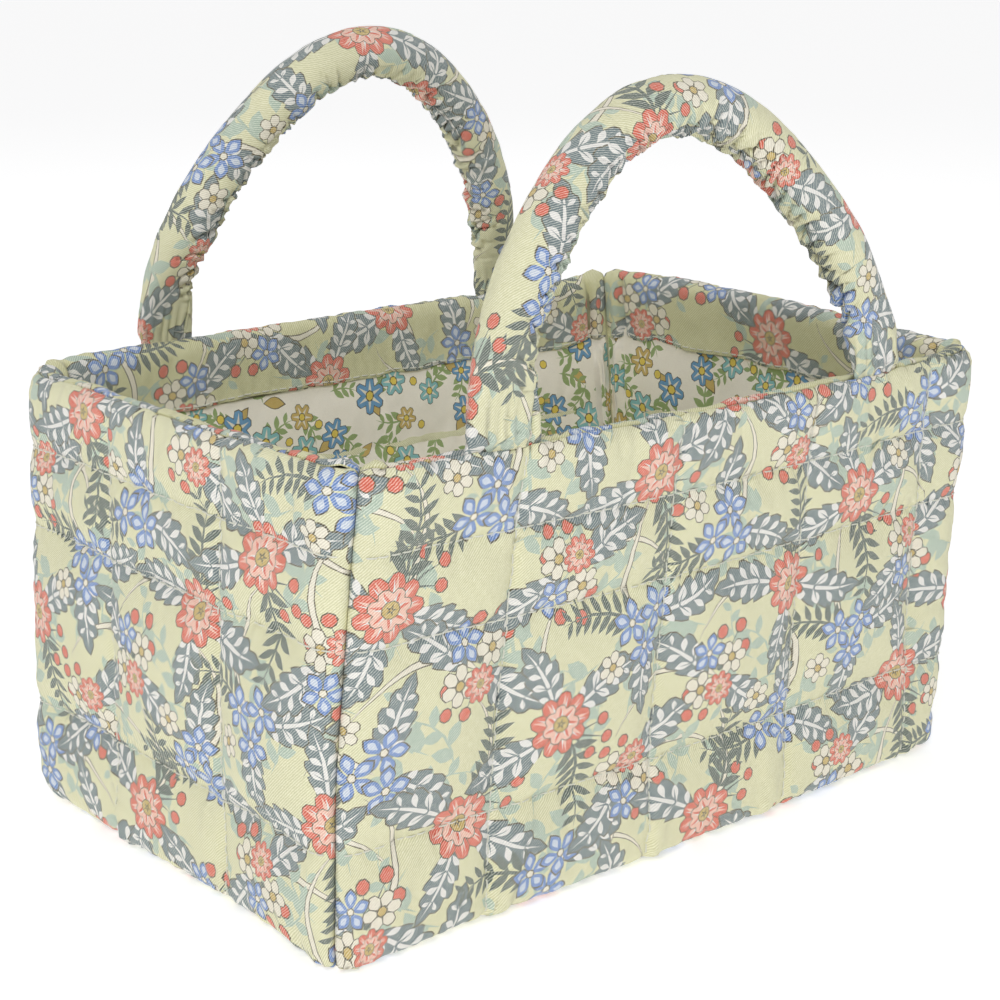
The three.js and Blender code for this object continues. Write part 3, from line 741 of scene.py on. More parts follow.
def leaf_motif():
    """Toothed slate leaf, thinly outlined, with pale lobes, a pale midrib and side veins."""
    leaf = {"length": 27, "width": 13, "bend": 0.5, "belly": 0.8, "teeth": 5}
    motif = [("outline", blade(**leaf, grow=0.42)), ("slate", blade(**leaf))]
    motif += [("pale", blade(25, 1.3, 0.46, 0.7, points=5))]
    vein = np.array([[0, -0.35], [5.0, 0.8], [0, 0.35]])
    lobe = blade(5.6, 2.6, 0.4, 1.3, points=5)
    lobe_start, lobe_pitch, spread = 3.4, 4.9, 40
    for number, size in enumerate((0.86, 1, 0.84, 0.6)):
        x = lobe_start + lobe_pitch * number
        midrib = x * x / 108
        for sign in (1, -1):
            angle = sign * spread + x
            motif.append(("pale", spot(lobe, x, midrib + sign * 0.7, angle, size, sign < 0)))
            if number % 2:
                motif.append(("slate", spot(vein, x, midrib, angle + sign * 4, size, sign < 0)))
    return motif


def sprig(ink, length, bend, width, leaflet, gaps, angle, paired):
    """An arched stem with small leaves, in pairs or by turns, which shrink towards its tip."""
    motif = [(ink, blade(length, width, bend, 0.6, points=5))]
    for number in range(gaps):
        t = 0.14 + 0.84 * number / gaps
        x = length * np.sin(bend * t) / bend
        y = length * (1 - np.cos(bend * t)) / bend
        for sign in (1, -1) if paired else (1 - 2 * (number % 2),):
            turned = np.degrees(bend * t) + sign * angle
            motif.append((ink, spot(leaflet, x, y, turned, 1 - 0.5 * t, sign < 0)))
    return motif


def frond_motif():
    """Arched frond with paired leaflets in the deeper slate."""
    leaflet = blade(12, 4, 0.35, 0.85, points=3)
    return sprig("deep_slate", 40, 0.9, 1.4, leaflet, gaps=7, angle=46, paired=True)


def scroll_motif():
    """Cream stem with a thin outline, curling from one bouquet towards the next."""
    line, stem = blade(50, 2.7, 1.9, 0.5, points=12), blade(49, 1.9, 1.86, 0.5, points=12)
    return [("outline", line), ("cream", stem)]


def tracery_motif():
    """Pale curling sprig that fills the ground."""
    leaflet = blade(9.5, 5.2, 0.4, 0.9, points=4)
    return sprig("tracery", 34, 1.5, 0.9, leaflet, gaps=6, angle=42, paired=False)


def berry_motif():
    """Three coral berries on forked stalks."""
    motif = []
    for angle, reach in ((-26, 13), (4, 16), (34, 12.5)):
        berry = reach * np.cos(np.radians(angle)), reach * np.sin(np.radians(angle))
        motif += rays(1, 0, reach, 1.3, "deep_slate", angle)
        motif += [("outline", disc(2.75, 8) + berry), ("coral", disc(2.3) + berry)]
    return motif


def bouquet(kind):
    """The motifs of one site of the floral print, from the bottom up."""
    leaf, frond, starlet, blossom = leaf_motif(), frond_motif(), starlet_motif(), blossom_motif()
    if kind == 0:
        motif = stamped(frond, 2, 4, 62, 0.8) + stamped(leaf, -2, -5, 262, 0.85, True)
        motif += stamped(leaf, 4, -2, -32, 1.0) + stamped(leaf, -5, 2, 152, 1.0)
        return motif + stamped(berry_motif(), 4, 5, 20, 0.8) + stamped(rosette_motif(), scale=0.74)
    if kind == 1:
        motif = stamped(leaf, 2, 3, 96, 0.9, True) + stamped(leaf, 5, -2, -14, 0.95, True)
        motif += stamped(frond, -3, -1, 206, 0.72, True)
        for angle in (80, 190, 310):
            x, y = 6.0 * np.cos(np.radians(angle)), 6.0 * np.sin(np.radians(angle))
            motif += stamped(starlet, x, y, angle, 0.95)
        return motif + stamped(blossom, -11, 11, 30, 0.95)
    motif = stamped(berry_motif(), 0, 2, 62, 0.9, True) + stamped(berry_motif(), 0, -2, 215, 0.8)
    motif += stamped(leaf, 3, -1, -48, 0.95) + stamped(leaf, -4, 1, 130, 0.95)
    motif += stamped(blossom, 5, 5, 0, 1.1) + stamped(blossom, -6, -3, 24, 1.15)
    return motif + stamped(starlet, -4, 8, 10, 0.85) + stamped(rosette_motif(), 1, -4, 40, 0.42)


def floral_print(x0, x1, y0, y1, shift=(0, 0)):
    """The outer cloth's print over a rectangle: bouquets in a half-drop repeat on a sprigged ground."""
    pitch_x, pitch_y, scale, margin = 34, 52, 1.18, 40
    bouquets = [stamped(bouquet(kind), scale=scale) for kind in range(3)]
    tracery, scroll = stamped(tracery_motif(), scale=scale), stamped(scroll_motif(), scale=scale)
    ground, figures = [], []
    first = int((x0 - margin) // pitch_x), int((y0 - margin) // pitch_y)
    last = int((x1 + margin) // pitch_x) + 1, int((y1 + margin) // pitch_y) + 1
    for i in range(first[0], last[0] + 1):
        for j in range(first[1], last[1] + 1):
            x = i * pitch_x + shift[0]
            y = (j + 0.5 * (i % 2)) * pitch_y + shift[1]
            mirror = (i // 2) % 2 == 1
            ground += stamped(tracery, x + 14, y + 18, 215 + 40 * (i % 2), 1, mirror)
            ground += stamped(tracery, x + 10, y - 14, 20 + 30 * (j % 2), 0.8, not mirror)
            ground += stamped(tracery, x - 6, y + 20, 95 + 60 * (j % 2), 0.9, mirror)
            ground += stamped(tracery, x + 18, y + 2, 160 + 50 * (i % 2), 0.8, not mirror)
            ground += stamped(scroll, x, y, 40 + 100 * (j % 2), 0.9, mirror)
            figures += stamped(bouquets[(i + 2 * j) % 3], x, y, 8 * ((i + j) % 3 - 1), 1, mirror)
    return ground + figures


def posy(ink):
    """Lining flower: outlined petals in one ink with cream streaks round a yellow eye."""
    motif = [("outline", scallop(6, 3.3, 5.4)), (ink, scallop(6, 2.95, 5.1))]
    motif += rays(6, 1.4, 4.5, 1.1, "cream") + [("outline", disc(1.7)), ("yellow", disc(1.35, 6))]
    return motif


def sprigged_print(x0, x1, y0, y1, seed):
    """The lining's print over a rectangle: small flowers and sprigs, jittered on a half-drop repeat."""
    rng = np.random.default_rng(seed)
    flowers = [posy(ink) for ink in ("teal", "mid_blue", "ochre", "mid_blue", "teal")]
    small = [("outline", disc(2.0)), ("yellow", disc(1.65))]
    leaflet = blade(6.4, 2.9, points=4)
    twig = sprig("leaf_green", 14, 0.8, 0.8, leaflet, gaps=3, angle=48, paired=True)
    shape = blade(8.2, 3.8, 0.3, points=6)
    leaf = [("outline", shape), ("ochre", spot(shape, 0.4, 0, scale=0.88))]
    leaves, heads, pitch, jitter = [], [], 16.5, 0.15
    for i in range(int((x1 - x0) / pitch) + 2):
        for j in range(int((y1 - y0) / pitch) + 2):
            x = x0 + (i + rng.uniform(-jitter, jitter)) * pitch
            y = y0 + (j + 0.5 * (i % 2) + rng.uniform(-jitter, jitter)) * pitch
            kind = (i * 3 + j * 5) % 7
            angle = rng.uniform(0, 360)
            leaves += stamped(twig, x, y, angle + 90, rng.uniform(0.95, 1.2))
            if kind % 2:
                leaves += stamped(leaf, x, y, angle + 200, rng.uniform(1.1, 1.4))
            if kind < 5:
                heads += stamped(flowers[kind], x, y, angle, rng.uniform(0.9, 1.5))
            if kind in (1, 4, 6):
                heads += stamped(small, x + 7.5, y + 5)
    return leaves + heads


# Cutting and sewing cloth


def cut_cloth(border, columns, rows, motif, ground, extra=()):
    """Triangulate flat cloth so that print edges, grid points and the border are all mesh edges.

    The topmost outline over a triangle gives its ink. Outlines beyond the border are cut off there.
    """
    low, high = border.min(0), border.max(0)
    near = [(ink, o) for ink, o in motif if (o.max(0) > low).all() and (o.min(0) < high).all()]
    grid = np.stack(np.meshgrid(columns, rows, indexing="ij"), -1).reshape(-1, 2)
    outlines = [border] + [outline for _, outline in near]
    inks = np.array([INKS.index(ground)] + [INKS.index(ink) for ink, _ in near])
    starts = np.cumsum([0] + [len(outline) for outline in outlines])
    loops = [list(range(a, b)) for a, b in zip(starts, starts[1:])]
    points = np.concatenate([*outlines, grid, np.reshape(extra, (-1, 2))])
    found = delaunay_2d_cdt([Vector(p) for p in points.tolist()], [], loops, 0, MERGE, True)
    corners = np.array([v.to_tuple() for v in found[0]])
    inside = [number for number, owners in enumerate(found[5]) if 0 in owners]
    triangles = np.array([found[2][number] for number in inside])
    top = np.array([max(found[5][number]) for number in inside])
    used, triangles = np.unique(triangles, return_inverse=True)
    return CutCloth(corners[used], triangles.reshape(-1, 3), inks[top], inks[0])


def border_loop(triangles):
    """Corner numbers along the edge of the cloth, in order: the edges that only one triangle has."""
    edges = np.concatenate([triangles[:, [0, 1]], triangles[:, [1, 2]], triangles[:, [2, 0]]])
    key = np.sort(edges, axis=1)
    _, first, count = np.unique(key, axis=0, return_index=True, return_counts=True)
    after = dict(edges[first[count == 1]].tolist())
    start = next(iter(after))
    loop = [start]
    for _ in range(len(after) - 1):
        loop.append(after[loop[-1]])
    if after[loop[-1]] != start or len(after) != (count == 1).sum():
        raise RuntimeError("the cut cloth has more than one edge")
    return np.array(loop)


def plain_back(border, step):
    """Coarse cloth inside the same border, keeping the border's points and their order."""
    low, high = border.min(0), border.max(0)
    columns, rows = (np.arange(a + step / 2, b, step) for a, b in zip(low, high))
    grid = np.stack(np.meshgrid(columns, rows, indexing="ij"), -1).reshape(-1, 2)
    points = [Vector(p) for p in np.concatenate([border, grid]).tolist()]
    found = delaunay_2d_cdt(points, [], [list(range(len(border)))], 0, MERGE, True)
    corners = np.array([v.to_tuple() for v in found[0]])
    triangles = np.array([face for face, owners in zip(found[2], found[5]) if owners])
    place = np.full(len(border), -1)
    for number, sources in enumerate(found[3]):
        for source in sources:
            if source < len(border):
                place[source] = number
    return corners, triangles, place


def surface_normals(shape, flat):
    """Unit normals of a shape function, from small steps in both flat directions."""
    step = 0.04  # millimetres of flat cloth
    across = shape(flat + (step, 0), 0) - shape(flat - (step, 0), 0)
    up = shape(flat + (0, step), 0) - shape(flat - (0, step), 0)
    normal = np.cross(across, up)
    return normal / np.maximum(np.linalg.norm(normal, axis=1, keepdims=True), 1e-12)


def make_mesh(name, points, faces, normals=None, colours=None, flat=None):
    """A mesh object from millimetre points and triangles, with its print and flat layout."""
    mesh = bpy.data.meshes.new(name)
    mesh.vertices.add(len(points))
    mesh.vertices.foreach_set("co", (np.asarray(points) * MM).astype(np.float32).ravel())
    mesh.loops.add(faces.size)
    mesh.loops.foreach_set("vertex_index", faces.astype(np.int32).ravel())
    mesh.polygons.add(len(faces))
    mesh.polygons.foreach_set("loop_start", np.arange(0, faces.size, 3, dtype=np.int32))
    mesh.update(calc_edges=True)
    mesh.polygons.foreach_set("use_smooth", np.ones(len(faces), bool))
    if flat is not None:
        layer = mesh.uv_layers.new(name="flat")
        layer.uv.foreach_set("vector", (flat[faces.ravel()] * MM).astype(np.float32).ravel())
    if colours is not None:
        layer = mesh.color_attributes.new("print", "FLOAT_COLOR", "CORNER")
        layer.data.foreach_set("color", np.repeat(colours, 3, axis=0).astype(np.float32).ravel())
    if normals is not None:
        mesh.normals_split_custom_set_from_vertices(normals.tolist())
    piece = bpy.data.objects.new(name, mesh)
    bpy.context.scene.collection.objects.link(piece)
    return piece


def sew(name, cut, shape, thickness, material):
    """Carry cut cloth to its place and close it: printed face, plain back and turned edges."""
    back_step = 9
    colours = bpy.context.scene.basket_colours
    palette = np.array([[*getattr(colours, ink), 1] for ink in INKS])
    loop = border_loop(cut.triangles)
    back_flat, back_faces, place = plain_back(cut.points[loop], back_step)
    face_points, back_points = shape(cut.points, 0), shape(back_flat, thickness)
    normals = surface_normals(shape, cut.points)
    back_normals = -surface_normals(shape, back_flat)
    count = len(face_points)
    following, behind = np.roll(loop, -1), count + place
    behind_following = np.roll(behind, -1)
    upper, lower = (following, loop, behind), (following, behind, behind_following)
    sides = np.concatenate([np.stack(upper, 1), np.stack(lower, 1)])
    faces = np.concatenate([cut.triangles, count + back_faces[:, ::-1], sides])
    points = np.concatenate([face_points, back_points])
    flat = np.concatenate([cut.points, back_flat])
    normals = np.concatenate([normals, back_normals])
    a, b, c = points[faces[:, 0]], points[faces[:, 1]], points[faces[:, 2]]
    if np.einsum("ij,ij->", a, np.cross(b, c)) < 0:
        faces, normals = faces[:, ::-1], -normals
    inks = np.concatenate([cut.inks, np.full(len(back_faces) + len(sides), cut.ground)])
    piece = make_mesh(name, points, faces, normals, palette[inks], flat)
    piece.data.materials.append(material)
    return piece


# Materials


class Nodes:
    """Short hand for building the node tree of one material or world."""

    def __init__(self, owner, shader):
        owner.use_nodes = True
        self.owner, self.tree = owner, owner.node_tree
        self.shader = self.tree.nodes[shader]

    @classmethod
    def material(cls, name):
        """The nodes of a new material."""
        return cls(bpy.data.materials.new(name), "Principled BSDF")

    def connect(self, node, inputs):
        """Set or link a node's inputs. Each is named by its socket, or by i and its number."""
        for key, value in inputs.items():
            numbered = key[0] == "i" and key[1:].isdigit()
            socket = node.inputs[int(key[1:]) if numbered else key.replace("_", " ")]
            if isinstance(value, bpy.types.NodeSocket):
                self.tree.links.new(value, socket)
            else:
                socket.default_value = value
        return node

    def add(self, kind, settings=(), **inputs):
        """A new node with its settings and inputs."""
        node = self.tree.nodes.new(kind)
        for key, value in dict(settings).items():
            setattr(node, key, value)
        return self.connect(node, inputs)

    def math(self, operation, a, b=0.0):
        """The outlet of a Math node on two values or outlets."""
        return self.add("ShaderNodeMath", {"operation": operation}, i0=a, i1=b).outputs[0]

    def ramp(self, value, low, high):
        """A colour between two, by a value from 0 to 1."""
        node = self.add("ShaderNodeValToRGB", Fac=value)
        for element, colour in zip(node.color_ramp.elements, (low, high)):
            element.color = colour
        return node.outputs[0]

    def bump(self, height, strength, distance):
        """Normals tilted by a height, whose full range stands for a distance in metres."""
        return self.add("ShaderNodeBump", Height=height, Strength=strength, Distance=distance).outputs[0]

    def finish(self, **inputs):
        """Give the shader its inputs and return the material or world."""
        self.connect(self.shader, inputs)
        return self.owner


def printed_cotton(name, threads_per_metre, sheen, worn_share, contrast):
    """Cotton with its print: twill threads and slubs in colour and bump, all on the flat layout.

    The colour is the ink, mixed towards bare cotton along the twill's raised threads, and times a
    shade that rises with the weave. Yarns are noise stretched along the warp and along the weft.
    """
    thin, long, twill_angle, bare_cotton = 2600, 420, np.radians(45), (0.80, 0.79, 0.70, 1)
    twill_share, yarn_share, patch_scale, patch_share = 0.45, 0.75, 38.0, 0.10
    full_shade, middle_weave, raised, both_raised = 0.95, 0.6, 1.6, 4
    nodes = Nodes.material(name)
    ink = nodes.add("ShaderNodeAttribute", {"attribute_name": "print"}).outputs["Color"]
    flat = nodes.add("ShaderNodeUVMap", {"uv_map": "flat"}).outputs[0]
    turned = nodes.add("ShaderNodeMapping", Vector=flat, Rotation=(0, 0, twill_angle)).outputs[0]
    wave_scale = threads_per_metre * np.pi / 10
    twill = nodes.add(
        "ShaderNodeTexWave", Vector=turned, Scale=wave_scale, Distortion=2.0, Detail=2.0, Detail_Scale=2.0
    ).outputs["Fac"]
    yarns = []
    for stretch in ((thin, long, 1), (long, thin, 1)):
        stretched = nodes.add("ShaderNodeMapping", Vector=flat, Scale=stretch).outputs[0]
        yarns.append(nodes.add("ShaderNodeTexNoise", Vector=stretched, Scale=1.0, Detail=2.0).outputs["Fac"])
    warp, weft = yarns
    threads = nodes.math("ADD", nodes.math("MULTIPLY", warp, 0.5), nodes.math("MULTIPLY", weft, 0.5))
    twill_part = nodes.math("MULTIPLY", twill, twill_share)
    weave = nodes.math("ADD", twill_part, nodes.math("MULTIPLY", threads, yarn_share))
    patches = nodes.add("ShaderNodeTexNoise", Vector=flat, Scale=patch_scale, Detail=2.0).outputs["Fac"]
    level = nodes.math("MULTIPLY", weave, contrast)
    level = nodes.math("ADD", level, nodes.math("MULTIPLY", patches, patch_share))
    shade = nodes.math("ADD", level, full_shade - middle_weave * contrast)
    floats = nodes.math("MULTIPLY", nodes.math("MULTIPLY", warp, weft), both_raised * worn_share)
    bare = nodes.math("MULTIPLY", nodes.math("POWER", twill, raised), floats)
    worn = nodes.add("ShaderNodeMix", {"data_type": "RGBA"}, i0=bare, i6=ink, i7=bare_cotton).outputs[2]
    lit = nodes.add("ShaderNodeVectorMath", {"operation": "SCALE"}, i0=worn, Scale=shade).outputs[0]
    normals = nodes.bump(weave, strength=0.35, distance=0.0002)
    return nodes.finish(
        Base_Color=lit, Normal=normals, Roughness=0.92, Specular_IOR_Level=0.2,
        Sheen_Weight=sheen, Sheen_Roughness=0.45,
    )


def sewing_thread():
    """Matt cotton thread with a fine twist along each stitch."""
    nodes, dark_share = Nodes.material("Sewing thread"), 0.72
    place = nodes.add("ShaderNodeTexCoord").outputs["Object"]
    fibre = nodes.add("ShaderNodeTexNoise", Vector=place, Scale=2400.0, Detail=2.0).outputs["Fac"]
    thread = tuple(bpy.context.scene.basket_colours.thread)
    colour = nodes.ramp(fibre, (*(dark_share * value for value in thread), 1), (*thread, 1))
    normals = nodes.bump(fibre, strength=0.4, distance=0.0001)
    return nodes.finish(Base_Color=colour, Normal=normals, Roughness=0.7, Sheen_Weight=0.2)


def material_named(name):
    """The named material, built when first asked for."""
    if name not in bpy.data.materials:
        if name == "Printed twill":
            printed_cotton(name, threads_per_metre=1380, sheen=0.15, worn_share=0.46, contrast=0.62)
        elif name == "Lining cotton":
            printed_cotton(name, threads_per_metre=2100, sheen=0.12, worn_share=0.15, contrast=0.3)
        else:
            sewing_thread()
    return bpy.data.materials[name]


# The workshop: what the operators share


class Workshop:
    """Walls and their settled quilting, made once for the run."""

    walls = {}
    quilts = {}

    @classmethod
    def wall(cls, side):
        """A side's wall and its quilting."""
        if side not in cls.walls:
            sizes = in_millimetres(bpy.context.scene.basket_sizes)
            cls.walls[side] = Wall(side, sizes)
            cls.quilts[side] = Quilting(cls.walls[side], SIDES.index(side) + 1)
        return cls.walls[side], cls.quilts[side]


def edge_steps(steps, low, high):
    """Steps with extra ones close to both edges, where the cloth turns under."""
    close = np.array([0.3, 0.8, 1.5])
    return np.unique(np.round(np.concatenate([steps, low + close, high - close]), 3))


def near_lines(steps, lines):
    """Steps with extra ones beside each stitched line, which stands in a groove."""
    clear, shifts = 2.4, (-2.0, -0.9, 0.0, 0.9, 2.0)
    beside = np.concatenate([np.array(lines) + shift for shift in shifts])
    kept = steps[np.abs(steps[:, None] - np.array(lines)).min(1) > clear]
    return np.unique(np.round(np.concatenate([kept, beside]), 3))


def rectangle(x0, x1, y0, y1):
    """Anticlockwise outline of a rectangle."""
    return np.array([[x0, y0], [x1, y0], [x1, y1], [x0, y1]], float)


def parted(wall, s):
    """Where a wall's rim seam opens for the handle roots: 1 at a root, nought beside it."""
    if not wall.long:
        return 0 * s
    size, side, fade = wall.sizes, wall.side, 7
    shift = getattr(size, f"{side}_shift") * ALONG[side][0]
    half = getattr(size, f"{side}_span") / 2
    roots = wall.along_at(np.array([shift - half, shift + half]), -size.roll, size.height)
    away = np.abs(s[..., None] - roots).min(-1)
    return 1 - ease(away, size.grip / 2, size.grip / 2 + fade)


def outer_shape(side):
    """Shape function of a wall's outer cloth: its section lifted by quilting, stitches and seams."""
    wall, quilt = Workshop.wall(side)
    seed, top = 40 + SIDES.index(side), wall.cloth_height
    corner_round, end_round, end_unevenness, crumple = 2.6, 1.0, 0.5, 1.1

    def shape(flat, depth):
        """Places of flat points, at a depth under the cloth's face."""
        s, w = flat[:, 0], flat[:, 1]
        to_corner, to_end = wall.seam_at - np.abs(s), np.minimum(w, top - w)
        fine = ripples(s, w, (4.2, 4.2), seed, height=0.22)
        crumpled = (1 - ease(to_corner, 6, 34)) * (1 - ease(w, 6, 34)) * ease(to_corner, 0, 4)
        fine += crumple * crumpled * ripples(s, w, (7, 6), 44)
        lift = quilt.lift(s, w) + wall.pulled_in(s, w, seed) + fine
        rim_folds = ripples(s, w, (3.4, 9), 50, height=0.45) + ripples(s, w, (13, 30), 51, height=0.6)
        lift += ease(w, top - 14, top - 6) * rim_folds
        uneven = 1 + wave_along(s, 5, 52, height=end_unevenness)
        lift += rounded_edge(to_corner, corner_round) + rounded_edge(to_end, end_round) * uneven
        offset, z = wall.section(w, lift - depth)
        opened = parted(wall, s) * ease(w, top - 4, top)
        return wall.place(s, offset + ROOT_GAP * opened, z)

    return shape


def facing_shape(side):
    """Shape function of a facing: over the roll and down inside, puckered along its hem."""
    wall, quilt = Workshop.wall(side)
    deep, seed = wall.facing_height, 60 + SIDES.index(side)
    scaled = (wall.cloth_height - wall.rows[-2]) / deep
    puff_share, sunk, swell, crease, crease_spread = 0.6, 0.2, 1.4, 2.6, 1.5
    corner_round, end_round = 2.4, 0.8

    def shape(flat, depth):
        """Places of flat points, at a depth under the cloth's face."""
        s, w = flat[:, 0], flat[:, 1]
        to_corner = wall.seam_at - np.abs(s)
        lift = puff_share * quilt.lift(-s, wall.cloth_height - w * scaled) - sunk
        lift += ripples(s, w, (3.6, 5), seed, height=0.25) + ripples(s, w, (12, 40), seed + 10, height=0.6)
        lift += ripples(s, w, (2.7, 12), seed + 20, height=0.6) * hump(deep - w, 0, 5)
        folded = crease * hump(to_corner, CORNER_FOLD, crease_spread) * ease(w, 3, 9)
        lift += swell * hump(to_corner, CORNER_FOLD / 2, 3) - folded
        lift += rounded_edge(to_corner, corner_round)
        lift += rounded_edge(w, end_round) + rounded_edge(deep - w, end_round)
        hem = wave_along(s, 8, seed + 30, height=0.9) * ease(w, deep - 12, deep)
        offset, z = wall.facing_section(w + hem, lift - depth)
        opened = parted(wall, s) * (1 - ease(w, 0, 4))
        return wall.place(s, offset - ROOT_GAP * opened, z)

    return shape


def lining_shape(side):
    """Shape function of a lining: upright inside, puffed between the stitches, folded at corners."""
    wall, quilt = Workshop.wall(side)
    seed = 80 + SIDES.index(side)
    puff_share, clear, fold, crease, corner_round = 0.4, 0.5, 3.0, 1.1, 1.8

    def shape(flat, depth):
        """Places of flat points, at a depth behind the cloth's face."""
        s, z = flat[:, 0], flat[:, 1]
        w = wall.cloth_at(z)
        free = 1 - ease(z, wall.facing_hem - 5, wall.facing_hem - 1)
        to_corner = wall.seam_at - np.abs(s)
        lift = puff_share * quilt.lift(-s, w) + puff_share * wall.pulled_in(s, w, 70) + clear
        lift += ripples(s, z, (5, 5), seed, height=0.25)
        sway = wave_along(z, 30, seed + 10, height=0.8)
        lift += fold * hump(to_corner, 5.5 + sway, 2.4) - crease * hump(to_corner, 10 + sway, 1.3)
        lift = lift * free + rounded_edge(to_corner, corner_round)
        return wall.place(s, -wall.sizes.wall - lift + depth, z)

    return shape


def handle_shape(handle):
    """Shape function of a handle: smooth outside, ruched towards its loop, gathered at its roots.

    The ruching is rows of puffs parted by sharp creases, and fades by a Gaussian from the long seam.
    """
    seed = 100 + SIDES.index(handle.side)
    puff_pitch, puff_depth, crease_depth, drawn = 6.1, 1.9, 1.1, 2.6
    reach_round, gather, gather_pitch, pinch_share, seam_round = 10.0, 0.55, 4.2, 0.13, 0.9

    def shape(flat, depth):
        """Places of flat points, at a depth under the cloth's face."""
        u, v = flat[:, 0], flat[:, 1]
        share, root = handle.round_and_along(u, v)
        grip = ease(root, 9, 24)
        around = v - handle.girth * (v > handle.girth / 2)
        wander = ripples(u, around, (11, 13), seed, height=0.8)
        wander = wander + ripples(u, around, (4, 5), seed + 5, height=0.3)
        phase = u / puff_pitch + wander + 0.05 * np.abs(around)
        puffs = 1 - 2.1 * hump(np.sin(np.pi * phase), 0, 0.4)
        creases = value_noise(u / 1.7 + 2 * wander, around / 7, seed + 1)
        reach = reach_round + wave_along(u, 5, seed + 4, height=3)
        inner = hump(share, 0, reach) * (1 + wave_along(u, 6, seed + 7, height=0.4))
        lift = grip * inner * (puff_depth * puffs + crease_depth * creases - drawn)
        lift += ripples(u, around, (7, 6), seed + 2, height=0.25)
        lift += ripples(u, around, (2.6, 9), seed + 6, height=0.2) * (0.3 + inner)
        turns = v / gather_pitch + ripples(v, u, (7, 20), seed + 3, height=0.45)
        lift += gather * (1 - ease(root, 1, 17)) * np.sin(2 * np.pi * turns)
        pinched = np.where(u < handle.length / 2, *(max(handle.roots) - np.array(handle.roots)))
        lift += pinch_share * pinched * hump(root, 12, 6)
        lift += rounded_edge(share, seam_round)
        return handle.place(u, v, lift - depth)

    return shape


def base_offset(wall, end, x, y):
    """Offset of plan points from the base outline: outwards of the nearer wall, or of a corner."""
    reached = []
    for each, along, out in ((wall, x, y), (end, y, x)):
        run, reach, bulge, corner = each.outline(0)
        fraction = np.clip(np.abs(along) / run, 0, 1)
        slope = np.arctan2(2 * bulge * fraction, run)
        reached.append((np.abs(out) - reach - bulge * (1 - fraction**2) - corner) * np.cos(slope))
    run, reach, _, corner = wall.outline(0)
    round_corner = np.hypot(np.abs(x) - run, np.abs(y) - reach) - corner
    beyond = (np.abs(x) > run) & (np.abs(y) > reach)
    return np.where(beyond, round_corner, np.maximum(*reached))


def base_shape(flat, depth):
    """The outer base: flat where it stands, curling up by a circle's arc to the base seam."""
    wall, end = Workshop.wall("front")[0], Workshop.wall("right")[0]
    radius, seam_round, unevenness = wall.sizes.curl, 1.2, 0.25
    x, y = flat[:, 0], flat[:, 1]
    offset = base_offset(wall, end, x, y)
    c = np.clip(offset + radius, 0, radius * np.sin(np.pi / 3))
    seam = -radius * (1 - np.cos(wall.sizes.curl_seam))
    z = radius - np.sqrt(radius**2 - c**2) - rounded_edge(seam - offset, seam_round)
    z = z + unevenness + ripples(x, y, (9, 9), 120, height=unevenness)
    return settled(np.stack([x, y, z + depth], -1))


def base_lining_shape(flat, depth):
    """The lining's base, softly puffed and sunk towards its seam."""
    wall, end = Workshop.wall("front")[0], Workshop.wall("right")[0]
    x, y = flat[:, 0], flat[:, 1]
    offset = base_offset(wall, end, x, y)
    z = FLOOR_HEIGHT + ripples(x, y, (16, 16), 121, height=0.5) * ease(-offset, 8, 16)
    return settled(np.stack([x, y, z - depth], -1))


def ring_round(offset, z):
    """Plan outline of the whole basket at an offset and height, anticlockwise."""
    parts = []
    for side in SIDES:
        wall, _ = Workshop.wall(side)
        s = spaced([-wall.seam_at, -wall.run, wall.run, wall.seam_at], 2.5)[:-1]
        parts.append(wall.pattern(s, offset, z)[:, :2])
    return np.concatenate(parts)


def panel_steps(wall, rows, fine):
    """Grid lines of a wall's cloth: closer beside stitched lines and edges."""
    columns = edge_steps(spaced(wall.breaks, fine), -wall.seam_at, wall.seam_at)
    levels = edge_steps(spaced(rows, fine), rows[0], rows[-1])
    levels = near_lines(levels, rows[1:-1]) if len(rows) > 2 else levels
    return near_lines(columns, wall.breaks[1:-1]), levels


def build_outer(side, shift):
    """One wall's outer cloth with its wadding behind it."""
    wall, _ = Workshop.wall(side)
    columns, rows = panel_steps(wall, wall.rows, OUTER_STEP)
    area = -wall.seam_at, wall.seam_at, 0, wall.cloth_height
    cut = cut_cloth(rectangle(*area), columns, rows, floral_print(*area, shift), "ground")
    filled = wall.sizes.wall - wall.sizes.cloth - 1
    piece = sew(f"{side}_panel", cut, outer_shape(side), filled, material_named("Printed twill"))
    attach(piece, "basket")
    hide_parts(f"{side}_outer_panel", f"{side}_wadding")
    return piece


def build_facing(side, shift):
    """The band of outer cloth inside one wall's rim."""
    wall, _ = Workshop.wall(side)
    deep = wall.facing_height
    columns, rows = panel_steps(wall, [0, deep], FACING_STEP)
    columns = near_lines(columns, [CORNER_FOLD - wall.seam_at, wall.seam_at - CORNER_FOLD])
    area = -wall.seam_at, wall.seam_at, 0, deep
    # The facing's ground is painted shade: the outer ground darkened for the shade inside the rim.
    cut = cut_cloth(rectangle(*area), columns, rows, floral_print(*area, shift), "facing_ground")
    twill = material_named("Printed twill")
    piece = sew(f"{side}_facing", cut, facing_shape(side), wall.sizes.cloth, twill)
    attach(piece, "basket")
    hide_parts(f"{side}_rim_facing")
    return piece


